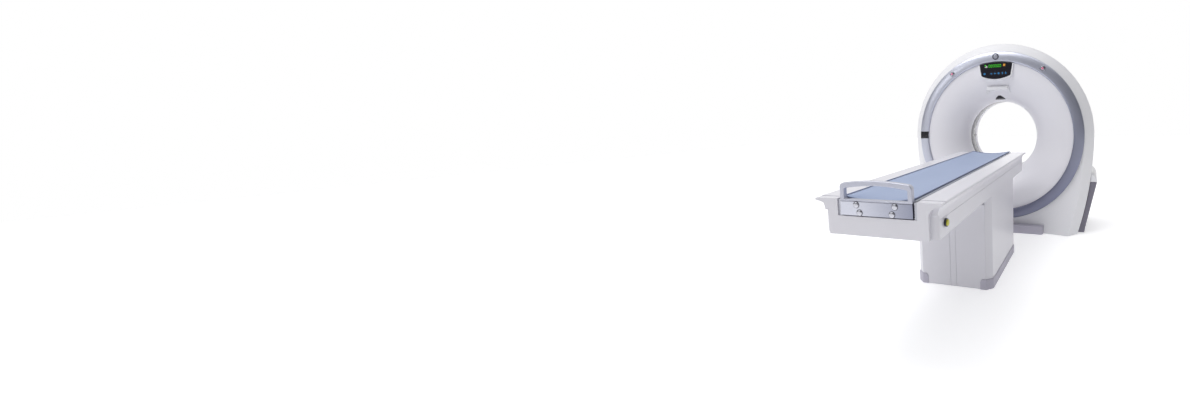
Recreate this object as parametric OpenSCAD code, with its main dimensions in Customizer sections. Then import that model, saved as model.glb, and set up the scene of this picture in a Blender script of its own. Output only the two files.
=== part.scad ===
// CT scanner: a ring gantry on the floor and a patient table docked in front of it.
// Millimetres. X to the right, Y from the foot of the table into the gantry, Z up.
// The origin is on the floor under the isocentre, and y = 0 is the scan plane.

/* [Gantry housing] */
// Radius of the housing's round top
house_r = 900; // [890:1:915]
// Height of the bore's axis above the floor, less that radius
axis_rise = 40; // [30:1:60]
// How far the side walls run in between the bore's level and the floor
foot_tuck = 140; // [120:1:155]
// Where the side walls start, behind the front cover's bevel
bevel_back_y = -250; // [-270:1:-240]
// Back edge of the bevel at the floor
bevel_floor_y = -312; // [-320:1:-305]
// Front plane of the cover that the accent ring sits on
cover_face_y = -335; // [-342:1:-330]
// Width of the bevel round the top
bevel_w = 82; // [79:1:86]
// Width of the bevel at the floor
bevel_foot_w = 85; // [70:1:95]
// How far the apron's foot stands in front of the cover's plane
apron_reach = 75; // [65:1:85]
// Wall of the moulded covers
cover_wall = 8; // [6:1:10]
// Back edge of the side walls
side_back_y = 330; // [320:1:350]
// Back face of the gantry
rear_y = 430; // [420:1:450]
// Width of the rear cover's bevel
rear_bevel = 60; // [50:1:70]
// Height above the bore's axis at which the top cover meets the side covers
cover_split = 320; // [260:10:380]
// Gap between the covers and the floor
cover_lift = 4; // [3:1:6]

/* [Bore] */
// Radius of the bore
bore_r = 350; // [345:1:352]
// Front lip of the bore, where the dark scan window starts
bore_front_y = -78; // [-85:1:-70]
// Back lip of the bore
bore_back_y = 164; // [155:1:175]
// Back edge of the scan window
window_back_y = 72; // [60:1:80]
// Wall of the scan window and the liner behind it
liner_wall = 5; // [4:1:6]
// Width of the rear face round its opening
rear_rim = 310; // [290:1:330]

/* [Accent ring] */
// Gap between the ring and the cover's bevel
ring_gap = 2; // [1:0.5:4]
// Width of the ring
ring_w = 96; // [90:1:100]
// How far the ring stands in front of the cover at its outer edge
ring_outer_proud = 26; // [22:1:30]
// How far the ring stands in front of the cover at its inner edge
ring_inner_proud = 36; // [34:1:40]
// How far the funnel's edge lies behind the ring's inner edge
funnel_step = 15; // [12:1:18]
// Extra height of the ring's crown
ring_crown = 6; // [3:1:8]

/* [Gantry controls] */
// Half width of the control panel at the top
panel_top_w = 162; // [150:1:170]
// Half width of the control panel at its lower corners
panel_low_w = 142; // [130:1:150]
// Height of the control panel from its lowest point to the ring
panel_h = 162; // [155:1:170]
// Rise of the panel's lower edge towards its corners
panel_sag = 32; // [25:1:38]
// White surround around the panel
pod_rim = 12; // [10:1:15]
// Radius of the emergency stop bezels
stop_bezel_r = 26; // [22:1:28]
// Radius of the emergency stop buttons
stop_button_r = 17; // [15:1:18]
// Angle of the emergency stops from the top of the ring
stop_angle = 35; // [30:1:40]
// Travel of the emergency stop buttons
stop_travel = 4; // [3:1:5]
// Half width of the brow over the laser window
brow_w = 110; // [104:1:116]
// Gap between the panel and the brow, as a share of the space from the panel to the bore
brow_gap_share = 0.3; // [0.28:0.002:0.34]
// Height of the brow from its ledge to the ends of its legs, as a share of that space
brow_share = 0.36; // [0.34:0.002:0.4]
// Height of the brow's ledge, as a share of that space
ledge_share = 0.168; // [0.16:0.002:0.19]
// Height of the laser window under the brow, as a share of that space
window_share = 0.183; // [0.16:0.002:0.2]
// How far the brow stands out of the funnel along its top edge
brow_proud = 26; // [22:1:30]

/* [Rotating assembly] */
// Space between the rotating disc's rim and the inside of the top cover
disc_clear = 102; // [95:1:115]
// Space between the bore's wall and the hole in the disc
disc_bore_gap = 35; // [28:1:45]
// Front face of the rotating disc
disc_y = 100; // [95:1:105]
// Thickness of the rotating disc
disc_t = 40; // [35:1:45]
// Width of the disc's rim outside the bearing's running surface
disc_rim_w = 90; // [85:1:95]
// Section of each bearing race
race_w = 40; // [36:1:45]
// Running clearance of the bearing
run_fit = 0.05; // [0.03:0.01:0.08]
// Distance of the detector's face from the bore's wall
detector_gap = 120; // [110:1:130]
// Half angle of the detector arc
detector_half_angle = 42; // [36:1:44]
// Radius of the drive pulley
pulley_r = 60; // [55:1:65]
// Thickness of the drive belt
belt_t = 4; // [3:1:5]

/* [Patient table] */
// Head end of the table's cover
table_head_y = -577; // [-600:1:-560]
// Length of the table
table_l = 2079; // [2000:1:2150]
// How far the wings' top edge lies below the bore's axis
table_drop = 122; // [115:1:130]
// Half width over the wings
wing_w = 315; // [310:1:325]
// How far the wings reach out over the beam's sides
wing_reach = 34; // [28:1:38]
// Depth of the beam under the wings' top edge
beam_depth = 168; // [160:1:175]
// Thickness of the wing's tip
wing_t = 16; // [12:1:20]
// Wall of the beam's side covers
skirt_wall = 6; // [5:1:6]
// Half width of the channel that the cradle runs in
channel_w = 196; // [194:1:198]
// Depth of the channel under the wings' top edge
channel_depth = 80; // [78:1:83]
// How far the front panel's sides lie inside the beam's
foot_panel_in = 34; // [30:1:40]

/* [Cradle] */
// Gap between the cradle's edge and the channel's side
cradle_gap = 8; // [7:1:10]
// Height of the cradle's lowest point above the channel's floor
cradle_rise = 34; // [30:1:37]
// Depth of the cradle's hollow
cradle_sag = 44; // [42:1:46]
// Wall of the cradle's shell
cradle_wall = 10; // [8:1:10]
// How far the mattress lies inside the cradle's edge
mat_in = 10; // [8:1:12]
// How far the mattress stands over the cradle's edge
mat_proud = 10; // [8:1:12]
// Dip of the mattress along its middle
mat_dip = 19; // [15:1:20]
// How far the cradle's head end lies inside the table's
cradle_set = 6; // [4:1:10]
// Gap between the end plate and the channel's side
plate_gap = 18; // [16:1:20]
// Gap between the end plate and the channel's floor
plate_lift = 5; // [4:1:7]
// Height of the end plate
plate_h = 63; // [60:1:66]
// Rise of the handle's arch over the end plate
handle_rise = 94; // [88:1:98]
// Width of the handle's bar seen from the end
handle_bar = 22; // [18:1:24]
// Depth of the handle's bar and of the end plate along the table
handle_depth = 26; // [22:1:28]
// Radius of the screw caps on the end plate
cap_r = 13; // [11:1:14]

/* [Pedestal] */
// How far the pedestal's sides lie inside the beam's
ped_in = 14; // [13:1:18]
// Distance from the table's head end to the pedestal
head_overhang = 360; // [340:1:380]
// Length of the pedestal
ped_l = 763; // [740:1:790]
// Chamfer of the pedestal's corners
ped_chamfer = 40; // [36:1:44]
// Wall of the pedestal's panels
ped_wall = 8; // [7:1:8]
// How far the side panels reach up inside the beam
ped_side_up = 5; // [2:1:8]
// How far the front and back panels end below the beam
ped_end_down = 65; // [60:1:75]
// Height of the bumpers and kick strips
bumper_h = 72; // [65:1:80]
// How far the bumpers and kick strips stand out
bumper_proud = 5; // [3:1:6]
// Half distance between the grooves on the front panel
groove_x = 21; // [18:1:25]

/* [Lift] */
// Radius of each lifting column's outer tube
column_r = 72; // [68:1:76]
// Wall of the lifting column's tubes
column_wall = 8; // [7:1:9]
// Distance between the two lifting columns
column_gap = 420; // [400:1:440]
// Radius of the table's anchor holes
table_hole_r = 7; // [6:0.5:8]
// Distance of the table's anchor holes from the pedestal's sides
table_hole_in = 77; // [70:1:90]
// Distance of the table's anchor holes from the pedestal's ends
table_hole_end = 90; // [80:1:100]
// Radius of the gantry's anchor holes
gantry_hole_r = 9; // [8:0.5:10]

/* [Floor pieces] */
// Half width of the plinth in front of the gantry
plinth_w = 448; // [440:1:455]
// Height of the plinth
plinth_h = 82; // [78:1:86]
// How far the plinth stands in front of the apron's foot
plinth_proud = 2; // [1:0.5:6]
// Half width of the cable trough between table and gantry
trough_w = 120; // [110:1:140]
// How far the dark side covers reach out past the housing at their top
flank_reach = 32; // [25:1:38]
// How far the dark side covers reach out past the housing at the floor
flank_foot_reach = 60; // [52:1:68]
// Top of the dark side covers
flank_h = 502; // [490:1:515]
// Height of the light caps on the side covers
flank_cap_h = 104; // [96:1:110]
// Distance from the side covers' back edge to the side walls'
flank_back_in = 30; // [20:1:50]

/* [Hidden] */
$fn = 96;
eps = 0.01;
seat = 0.3;
slide_gap = 0.5;
white = "#e9e9ec";
shade = "#d3d2da";
ring_tint = "#9fa5bb";
dark_grey = "#74717f";
panel_black = "#2b2a33";
steel_grey = "#8b9097";
bumper_grey = "#9c99a8";
mat_blue = "#a9b8d4";
bright = "#c4c6cf";

// Housing
iso_h = house_r + axis_rise;
house_foot_w = house_r - foot_tuck;
bevel_r = house_r - bevel_w;
apron_foot_w = house_foot_w - bevel_foot_w;
apron_foot_y = cover_face_y - apron_reach;
cover_split_h = iso_h + cover_split;
rear_mouth_r = house_r - rear_rim;
wall_steps = 14;
bowl_steps = 12;
apron_r = bevel_r + 32;
apron_end_r = sqrt(apron_foot_w * apron_foot_w + iso_h * iso_h);
apron_power = 1.5;
ring_seat = 48;
funnel_flange = 46;
funnel_wall = 7;

// Ring and controls
ring_outer_r = bevel_r - ring_gap;
ring_inner_r = ring_outer_r - ring_w;
ring_mid_r = (ring_outer_r + ring_inner_r) / 2;
ring_crown_y = cover_face_y - (ring_outer_proud + ring_inner_proud) / 2 - ring_crown;
lip_r = ring_inner_r - slide_gap;
bowl_face_y = cover_face_y - ring_inner_proud + funnel_step;
panel_face_y = cover_face_y - ring_inner_proud - 5;
panel_t = 14;
panel_low_h = ring_inner_r - panel_h;
display_box = [-72, 107, 128, 32];
left_lamp_box = [-108, 107, 30, 32];
right_lamp_box = [72, 114, 23, 24];
key_row_x = [-110, -43, -7, 28, 65, 98];
key_row_rise = 52;
key_r = 11;
free_w = panel_low_h - bore_r;
window_base_w = 52;
window_rise = window_share * free_w;
window_lift = window_rise / 2;
window_side = 14;
brow_top_h = panel_low_h - brow_gap_share * free_w;
brow_depth = brow_share * free_w;
brow_low_h = brow_top_h - brow_depth;
brow_splay = 18;
brow_leg_w = 16;
brow_leg_proud = 6;
brow_root = 20;
badge_r = 31;
badge_t = 6;
badge_root = 12;
plate_skin = 2.5;
side_plate_h = 70;

// Base and stator
frame_h = 70;
foot_plate_t = 20;
foot_plate_w = 100;
rail_w = 90;
rail_in = house_foot_w - 220;
rail_front_y = -240;
rail_back_y = 390;
cross_w = 80;
cross_h = 50;
hole_x = rail_in + rail_w + 45;
hole_front_y = rail_front_y + 60;
hole_back_y = rail_back_y - 50;
stator_y = disc_y + disc_t + 25;
stator_t = 50;
stator_hole_r = 60;
stator_hole_x = rail_in + 60;
stator_hole_h = 330;

// Rotating assembly
disc_r = house_r - cover_wall - disc_clear;
disc_bore_r = bore_r + disc_bore_gap;
disc_hole_r = 28;
disc_hole_in = 55;
race_r = disc_r - disc_rim_w;
sleeve_back_y = stator_y + stator_t + 17;
sleeve_w = 40;
slip_w = 30;
slip_back_y = sleeve_back_y + slip_w;
slip_in = 8;
detector_r = bore_r + detector_gap;
detector_depth = 120;
detector_y = -60;
tube_r = 95;
tube_h = race_r - 80;
tube_port = 12;
tube_l = 150;
tube_nose = 40;
port_w = 100;
collimator_box = [170, 150, 60];
collimator_slot = [120, 24];
unit_box = [230, 190, 180];
unit_in = 310;
unit_r = disc_r - unit_in;
unit_angle = 72;
weight_box = [170, 90, 90];
weight_r = disc_r - 190;
weight_angle = 118;
data_box = [120, 120, 150];
data_in = 290;
data_r = disc_r - data_in;
data_angle = 38;
brush_box = [120, 50, 140];
brush_rise = 20;
shaft_r = 12;
shaft_l = 55;
motor_r = 46;
motor_l = 130;
pulley_x = rail_in + 70;
pulley_h = frame_h + pulley_r + 12;
belt_gap = 0.65;

// Table top
table_foot_y = table_head_y - table_l;
wing_h = iso_h - table_drop;
beam_w = wing_w - wing_reach;
beam_low_h = wing_h - beam_depth;
channel_h = wing_h - channel_depth;
foot_panel_w = beam_w - foot_panel_in;
wing_drop = 46;
foot_t = 46;
foot_panel_t = 26;
head_t = 23;
channel_floor_t = 8;
channel_wall = 5;
wing_plate = 16;
seam_w = 3;
head_plate = [220, 180, 30];
rail_groove = [2, 4, 12];

// Cradle
cradle_w = channel_w - cradle_gap;
cradle_low_h = channel_h + cradle_rise;
cradle_edge_h = cradle_low_h + cradle_sag;
mat_w = cradle_w - mat_in;
mat_edge_h = cradle_edge_h + mat_proud;
plate_w = channel_w - plate_gap;
plate_low_h = channel_h + plate_lift;
plate_top_h = plate_low_h + plate_h;
handle_top_h = plate_top_h + handle_rise;
cradle_head_y = table_head_y - cradle_set;
cradle_foot_y = table_foot_y + handle_depth;
cradle_arc = (cradle_w * cradle_w + cradle_sag * cradle_sag) / (2 * cradle_sag);
cradle_mid_h = cradle_low_h + cradle_arc;
slide_rail_x = plate_w + 3;
slide_rail_h = cradle_mid_h - sqrt(cradle_arc * cradle_arc - slide_rail_x * slide_rail_x) - seat;
mat_arc = (mat_w * mat_w + mat_dip * mat_dip) / (2 * mat_dip);
mat_mid_h = mat_edge_h - mat_dip + mat_arc;
cap_inset = 14;
cap_lean = 15;
cap_spread = 95;
wheel_r = 20;
wheel_h = cradle_low_h - seat - wheel_r;
wheel_y = cradle_head_y - 177;
wheel_w = 30;
wheel_shaft_r = 6;
drive_depth = 50;
drive_l = 80;
drive_motor_w = 100;
cheek_t = 10;
cheek_x = wheel_w / 2 + 5;
lock_y = table_foot_y + 107;
lock_h = wing_h - 110;
lock_r = 19;
lock_cap_r = 14;
lock_travel = 3;

// Pedestal and lift
ped_w = beam_w - ped_in;
ped_back_y = table_head_y - head_overhang;
ped_front_y = ped_back_y - ped_l;
ped_side_h = beam_low_h + ped_side_up;
ped_end_h = beam_low_h - ped_end_down;
bumper_w = 78;
base_plate_t = 20;
column_foot_h = 36;
column_mid_y = (ped_front_y + ped_back_y) / 2;
column_low_by = 35;
column_top = ped_end_h - column_low_by;
column_overlap = 350;
sleeve_reach = 145;
sleeve_low = ped_end_h - sleeve_reach;
sleeve_gap = 4;
sleeve_wall = 4;
table_hole_x = ped_w - table_hole_in;

// Floor pieces
plinth_y = apron_foot_y - plinth_proud;
flank_w = house_r + flank_reach;
flank_foot_w = house_foot_w + flank_foot_reach;
flank_back_y = side_back_y - flank_back_in;
flank_toe = 56;

// Half width of the housing at a height, swelling from its foot to the level of the bore
function flare(h, top, foot) = top - (top - foot) * pow((iso_h - h) / iso_h, 2);

// Depth of the apron's hollow face at a distance from the bore's axis
function apron_y(r) = r <= apron_r ? cover_face_y
    : cover_face_y + (apron_foot_y - cover_face_y)
        * pow((r - apron_r) / (apron_end_r - apron_r), apron_power);

// The funnel's face: a quarter of an ellipse that turns from the ring's plane into the bore
function bowl_point(a, face_y, r0, r1, lip_y) =
    [r0 - (r0 - r1) * sin(a), lip_y + (face_y - lip_y) * cos(a)];

function bowl(face_y, r0, r1, lip_y) =
    [for (i = [0:bowl_steps]) bowl_point(90 * i / bowl_steps, face_y, r0, r1, lip_y)];

// Depth of the funnel's face at a distance from the bore's axis
function bowl_y(r) = bore_front_y
    + (bowl_face_y - bore_front_y) * sqrt(1 - pow((lip_r - r) / (lip_r - bore_r), 2));

function reversed(list) = [for (i = [len(list) - 1:-1:0]) list[i]];

// Turns a profile of [radius, y] points around the bore's axis
module around_bore(profile) {
    translate([0, 0, iso_h])
        rotate([-90, 0, 0])
            rotate_extrude($fn = 144)
                polygon(profile);
}

// Extrudes a shape drawn in X and Z from one y to another
module slab(front, back) {
    translate([0, back, 0])
        rotate([90, 0, 0])
            linear_extrude(back - front)
                children();
}

// Extrudes a shape drawn in Y and Z from one x to another
module cross(left, right) {
    translate([left, 0, 0])
        rotate([90, 0, 90])
            linear_extrude(right - left)
                children();
}

module both_sides() {
    children();
    mirror([1, 0, 0])
        children();
}

// Outline of the housing below the bore's axis: sides that run in towards the floor
module lower_outline(top, foot, low = 0) {
    heights = [for (i = [0:wall_steps]) low + (iso_h - low) * i / wall_steps];
    polygon(concat(
        [for (h = heights) [flare(h, top, foot), h]],
        [for (h = reversed(heights)) [-flare(h, top, foot), h]]
    ));
}

// Outline of the whole housing: a round top on those sides
module house_outline(top, foot, low = 0) {
    translate([0, iso_h])
        intersection() {
            circle(top, $fn = 144);
            translate([-top, 0])
                square([2 * top, top]);
        }
    lower_outline(top, foot, low);
}

// Round top half of a block, turned from its profile of [radius, y] points
module top_half(profile, reach) {
    intersection() {
        around_bore(profile);
        translate([-reach, -reach, iso_h])
            cube(2 * reach);
    }
}

// The front cover's block: side walls, bevel and the foot that stands forward
module front_block(inset) {
    step = 1;
    front = cover_face_y - ring_outer_proud / 2;
    top_half([
        [0, front + inset], [bevel_r - inset, front + inset], [bevel_r - inset, cover_face_y + inset],
        [house_r - inset, bevel_back_y - step], [house_r - inset, bevel_back_y], [0, bevel_back_y]
    ], 2 * house_r);
    hull() {
        slab(bevel_back_y - step, bevel_back_y)
            lower_outline(house_r - inset, house_foot_w - inset, cover_lift);
        slab(front + inset, cover_face_y + inset)
            lower_outline(bevel_r - inset, apron_foot_w + 15 - inset, cover_lift);
        translate([0, 0, cover_lift])
            linear_extrude(step)
                polygon([
                    [inset - apron_foot_w, apron_foot_y + inset],
                    [apron_foot_w - inset, apron_foot_y + inset],
                    [house_foot_w - inset, bevel_floor_y + inset],
                    [inset - house_foot_w, bevel_floor_y + inset]
                ]);
    }
}

// Everything in front of the cover's face, hollowed round the ring
module apron_cut(depth) {
    far_y = apron_foot_y - 2 * apron_reach;
    far_r = apron_end_r + apron_reach;
    steps = 10;
    around_bore(concat(
        [[0, far_y], [0, cover_face_y + depth]],
        [for (i = [0:steps])
            let (r = apron_r + (far_r - apron_r) * i / steps) [r, apron_y(r) + depth]],
        [[far_r, far_y]]
    ));
}

module front_cover() {
    color(white)
        difference() {
            front_block(0);
            apron_cut(0);
            difference() {
                front_block(cover_wall);
                apron_cut(cover_wall);
            }
            translate([-house_foot_w, bevel_back_y - 60, -eps])
                cube([2 * house_foot_w, 60 + eps, cover_lift + cover_wall]);
            around_bore([
                [0, cover_face_y - 60], [ring_outer_r - ring_seat, cover_face_y - 60],
                [ring_outer_r - ring_seat, cover_face_y + 60], [0, cover_face_y + 60]
            ]);
            slab(plinth_y - 1, cover_face_y + 60)
                square([2 * (plinth_w + seat), 2 * (plinth_h + seat)], center = true);
        }
}

// Section of the ring: flat at the back, leaning and crowned at the front
module crowned_band(grow) {
    half = (ring_outer_r - ring_inner_r) / 2;
    steps = 8;
    around_bore(concat(
        [[ring_inner_r, cover_face_y], [ring_outer_r, cover_face_y]],
        [for (i = [0:steps])
            let (
                s = 1 - 2 * i / steps,
                lean = ring_outer_proud * (1 + s) / 2 + ring_inner_proud * (1 - s) / 2
            )
            [ring_mid_r + half * s, cover_face_y - lean - grow - ring_crown * (1 - s * s)]]
    ));
}

module accent_ring() {
    color(ring_tint)
        crowned_band(0);
}

// Front face of the funnel, from its flange behind the ring to the lip of the bore
function funnel_face() = bowl(bowl_face_y, lip_r, bore_r, bore_front_y);

function funnel_back() = bowl(
    bowl_face_y + funnel_wall, lip_r - funnel_wall, bore_r + funnel_wall, bore_front_y
);

module front_funnel() {
    color(shade)
        around_bore(concat(
            funnel_face(), reversed(funnel_back()),
            [
                [lip_r - funnel_wall, cover_face_y + funnel_wall],
                [ring_inner_r + funnel_flange, cover_face_y + funnel_wall],
                [ring_inner_r + funnel_flange, cover_face_y], [lip_r, cover_face_y]
            ]
        ));
}

// Skin of a given thickness on the funnel's face, or everything from the face backwards
module funnel_front(proud, depth) {
    around_bore(concat(
        [for (p = funnel_face()) [p[0], p[1] - proud]],
        [[bore_r, bore_front_y + depth], [lip_r, bore_front_y + depth]]
    ));
}

module panel_outline(rim) {
    sag_r = (panel_low_w * panel_low_w + panel_sag * panel_sag) / (2 * panel_sag);
    top_r = lip_r - 2;
    translate([0, iso_h])
        intersection() {
            circle(top_r);
            translate([0, panel_low_h + sag_r])
                circle(sag_r + rim);
            polygon([
                [-panel_low_w - rim, panel_low_h - 2 * rim], [panel_low_w + rim, panel_low_h - 2 * rim],
                [panel_low_w + rim, panel_low_h + panel_sag], [panel_top_w + rim, lip_r],
                [-panel_top_w - rim, lip_r], [-panel_low_w - rim, panel_low_h + panel_sag]
            ]);
        }
}

module panel_pod() {
    color(white)
        difference() {
            slab(panel_face_y + 6, cover_face_y + 60)
                panel_outline(pod_rim);
            funnel_front(seat, 40);
            slab(panel_face_y, panel_face_y + panel_t)
                panel_outline(0);
        }
}

module panel_face() {
    color(panel_black)
        difference() {
            slab(panel_face_y, panel_face_y + panel_t)
                panel_outline(-seat);
            slab(panel_face_y - 1, panel_face_y + 3)
                display_window(0);
            slab(panel_face_y - 1, panel_face_y + 3)
                key_spots(0);
        }
}

// Rectangle on the panel, given as [x, height above the panel's lowest point, width, height]
module panel_box(b, gap) {
    translate([b[0] + gap, iso_h + panel_low_h + b[1] + gap])
        square([b[2] - 2 * gap, b[3] - 2 * gap]);
}

module display_window(gap) {
    panel_box(display_box, gap);
}

module key_spots(gap) {
    for (x = key_row_x)
        translate([x, iso_h + panel_low_h + key_row_rise])
            circle(key_r - gap, $fn = 32);
    panel_box(left_lamp_box, gap);
    panel_box(right_lamp_box, gap);
}

module panel_display() {
    color("#3f9a2e")
        slab(panel_face_y + 1, panel_face_y + 3)
            display_window(seat);
}

module panel_keys() {
    color("#1f5f8f")
        slab(panel_face_y + 1, panel_face_y + 3)
            key_spots(seat);
}

module laser_brow() {
    corner = 14;
    under = brow_depth - ledge_share * free_w;
    front = bowl_y(brow_top_h) - brow_proud;
    back = bowl_y(brow_low_h) + brow_root;
    leg_end = bowl_y(norm([brow_w + brow_splay, brow_low_h])) - brow_leg_proud;
    right = [
        [brow_w - brow_leg_w - corner, under], [brow_w - brow_leg_w, under - corner],
        [brow_w + brow_splay - brow_leg_w, 0], [brow_w + brow_splay, 0],
        [brow_w, brow_depth - corner], [brow_w - corner, brow_depth]
    ];
    color(white)
        difference() {
            slab(front, back)
                translate([0, iso_h + brow_low_h])
                    polygon(concat(right, [for (p = reversed(right)) [-p[0], p[1]]]));
            cross(-2 * brow_w, 2 * brow_w)
                translate([0, iso_h + brow_low_h])
                    polygon([
                        [front - 1, -1], [leg_end, -1], [leg_end, 0], [front, under], [front - 1, under]
                    ]);
            funnel_front(seat, 160);
        }
}

module laser_windows() {
    color(panel_black) {
        intersection() {
            difference() {
                funnel_front(3, 10);
                funnel_front(seat, 20);
            }
            slab(bowl_face_y, bore_front_y)
                translate([0, iso_h + bore_r + window_lift])
                    polygon([
                        [-window_base_w, 0], [window_base_w, 0], [window_base_w - 8, window_side],
                        [window_side, window_rise], [-window_side, window_rise],
                        [8 - window_base_w, window_side]
                    ]);
        }
        both_sides()
            translate([bore_r - 3 - seat - 0.1, 0, iso_h])
                rotate([0, 90, 0])
                    translate([-9, window_back_y + 24, 0])
                        cube([18, 12, 3]);
    }
}

// Round piece standing out from the crown of the ring, at an angle from the top
module on_ring(angle, r, low, high) {
    translate([ring_mid_r * sin(angle), ring_crown_y - low, iso_h + ring_mid_r * cos(angle)])
        rotate([90, 0, 0])
            cylinder(high - low, r = r, $fn = 48);
}

module ring_badge() {
    color(bright)
        difference() {
            on_ring(0, badge_r, -badge_root, badge_t);
            accent_ring();
        }
}

module stop_bezels() {
    color(bright)
        for (a = [-stop_angle, stop_angle])
            difference() {
                on_ring(a, stop_bezel_r, -badge_root, badge_t + stop_travel);
                on_ring(a, stop_button_r + slide_gap, -2 * badge_root, 2 * badge_root);
                accent_ring();
            }
}

module stop_button(angle) {
    lift = 1.5 + stop_travel;
    color("#e06a90")
        on_ring(angle, stop_button_r, lift, lift + 12);
}

module stop_button_left() {
    stop_button(-stop_angle);
}

module stop_button_right() {
    stop_button(stop_angle);
}

// Bare plate that wraps over the ring's section on its left side
module side_plate() {
    deep = 2 * ring_inner_proud;
    color(panel_black)
        intersection() {
            difference() {
                crowned_band(plate_skin);
                accent_ring();
            }
            translate([-ring_outer_r - ring_gap, cover_face_y - deep - 4, iso_h - 5])
                cube([ring_w + 2 * ring_gap, deep, side_plate_h]);
        }
}

module wrap(part_low, part_high) {
    slab(bevel_back_y, side_back_y)
        intersection() {
            difference() {
                house_outline(house_r, house_foot_w, cover_lift);
                house_outline(house_r - cover_wall, house_foot_w - cover_wall, 0);
            }
            translate([-house_r - 10, part_low])
                square([2 * house_r + 20, part_high - part_low]);
        }
}

module top_cover() {
    color(white)
        wrap(cover_split_h, iso_h + house_r + 10);
}

module side_covers() {
    color(white)
        wrap(cover_lift, cover_split_h);
}

module rear_block(inset) {
    step = 1;
    back = rear_y - inset;
    top_half([
        [0, side_back_y], [house_r - inset, side_back_y], [house_r - inset, side_back_y + step],
        [house_r - rear_bevel - inset, back - step], [house_r - rear_bevel - inset, back], [0, back]
    ], 2 * house_r);
    hull() {
        slab(side_back_y, side_back_y + step)
            lower_outline(house_r - inset, house_foot_w - inset, cover_lift);
        slab(back - step, back)
            lower_outline(house_r - rear_bevel - inset, house_foot_w - rear_bevel / 2 - inset, cover_lift);
    }
}

module rear_cover() {
    vent_h = 12;
    vent_l = 200;
    vent_in = 120;
    vent_x = house_foot_w - vent_in - vent_l;
    vent_low = 110;
    vent_pitch = 26;
    color(white)
        difference() {
            rear_block(0);
            difference() {
                rear_block(cover_wall);
                translate([-house_r, side_back_y - 1, 0])
                    cube([2 * house_r, 1, eps]);
            }
            around_bore([
                [0, rear_y - 60], [rear_mouth_r, rear_y - 60], [rear_mouth_r, rear_y + 10], [0, rear_y + 10]
            ]);
            for (i = [0:7])
                both_sides()
                    translate([vent_x, rear_y - cover_wall - 5, vent_low + i * vent_pitch])
                        cube([vent_l, cover_wall + 10, vent_h]);
        }
}

module rear_funnel() {
    flange = 30;
    behind = rear_y - cover_wall;
    color(shade)
        around_bore([
            [bore_r, bore_back_y], [bore_r + funnel_wall, bore_back_y],
            [rear_mouth_r + funnel_wall, behind - funnel_wall], [rear_mouth_r + flange, behind - funnel_wall],
            [rear_mouth_r + flange, behind], [rear_mouth_r, behind], [rear_mouth_r, rear_y],
            [rear_mouth_r - funnel_wall, rear_y]
        ]);
}

module tunnel(front, back) {
    around_bore([
        [bore_r, front], [bore_r + liner_wall, front], [bore_r + liner_wall, back], [bore_r, back]
    ]);
}

module scan_window() {
    color(dark_grey)
        tunnel(bore_front_y, window_back_y);
}

module rear_liner() {
    color(shade)
        tunnel(window_back_y, bore_back_y);
}

// Side covers over the gantry's feet: a dark panel that leans in towards the floor
function flank_line(h) = flank_foot_w + (flank_w - flank_foot_w) * (h - cover_lift) / (flank_h - cover_lift);

module flank_covers() {
    color(dark_grey)
        both_sides()
            difference() {
                slab(bevel_back_y, flank_back_y)
                    polygon([
                        [rail_in + rail_w, cover_lift], [flank_line(flank_toe) - 8, cover_lift],
                        [flank_line(flank_toe), flank_toe], [flank_w, flank_h], [rail_in + rail_w, flank_h]
                    ]);
                slab(bevel_back_y - 1, flank_back_y + 1)
                    house_outline(house_r + seat, house_foot_w + seat, -1);
            }
}

module flank_caps() {
    color(white)
        both_sides()
            difference() {
                slab(bevel_back_y, flank_back_y)
                    intersection() {
                        translate([flank_w - flank_cap_h, flank_h])
                            circle(flank_cap_h);
                        translate([house_foot_w, flank_h])
                            square([flank_w - house_foot_w, flank_cap_h]);
                    }
                slab(bevel_back_y - 1, flank_back_y + 1)
                    house_outline(house_r + seat, house_foot_w + seat, -1);
            }
}

module floor_plinth() {
    corner = 26;
    color(bumper_grey)
        linear_extrude(plinth_h)
            difference() {
                translate([-plinth_w, plinth_y])
                    square([2 * plinth_w, rail_front_y - cross_w / 2 - plinth_y]);
                both_sides()
                    translate([plinth_w - corner, plinth_y + corner])
                        difference() {
                            translate([0, -corner - 1])
                                square([corner + 1, corner + 1]);
                            circle(corner);
                        }
            }
}

module cable_trough() {
    rise = 40;
    lip = 14;
    wall = 6;
    color(bumper_grey)
        slab(ped_back_y, plinth_y)
            difference() {
                polygon([
                    [-trough_w, 0], [trough_w, 0], [trough_w - lip, rise], [lip - trough_w, rise]
                ]);
                polygon([
                    [-trough_w + lip, -1], [trough_w - lip, -1],
                    [trough_w - 2 * lip, rise - wall], [2 * lip - trough_w, rise - wall]
                ]);
            }
}

module base_frame() {
    color(steel_grey)
        difference() {
            union() {
                both_sides() {
                    translate([rail_in, rail_front_y, 0])
                        cube([rail_w, rail_back_y - rail_front_y, frame_h]);
                    translate([rail_in + rail_w - 1, rail_front_y, 0])
                        cube([foot_plate_w + 1, rail_back_y - rail_front_y, foot_plate_t]);
                }
                for (y = [rail_front_y - cross_w / 2, -cross_w / 2, rail_back_y - cross_w])
                    translate([-rail_in - 1, y, 0])
                        cube([2 * rail_in + 2, cross_w, cross_h]);
            }
            both_sides()
                for (y = [hole_front_y, hole_back_y])
                    translate([hole_x, y, -1])
                        cylinder(foot_plate_t + 2, r = gantry_hole_r);
        }
}

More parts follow.
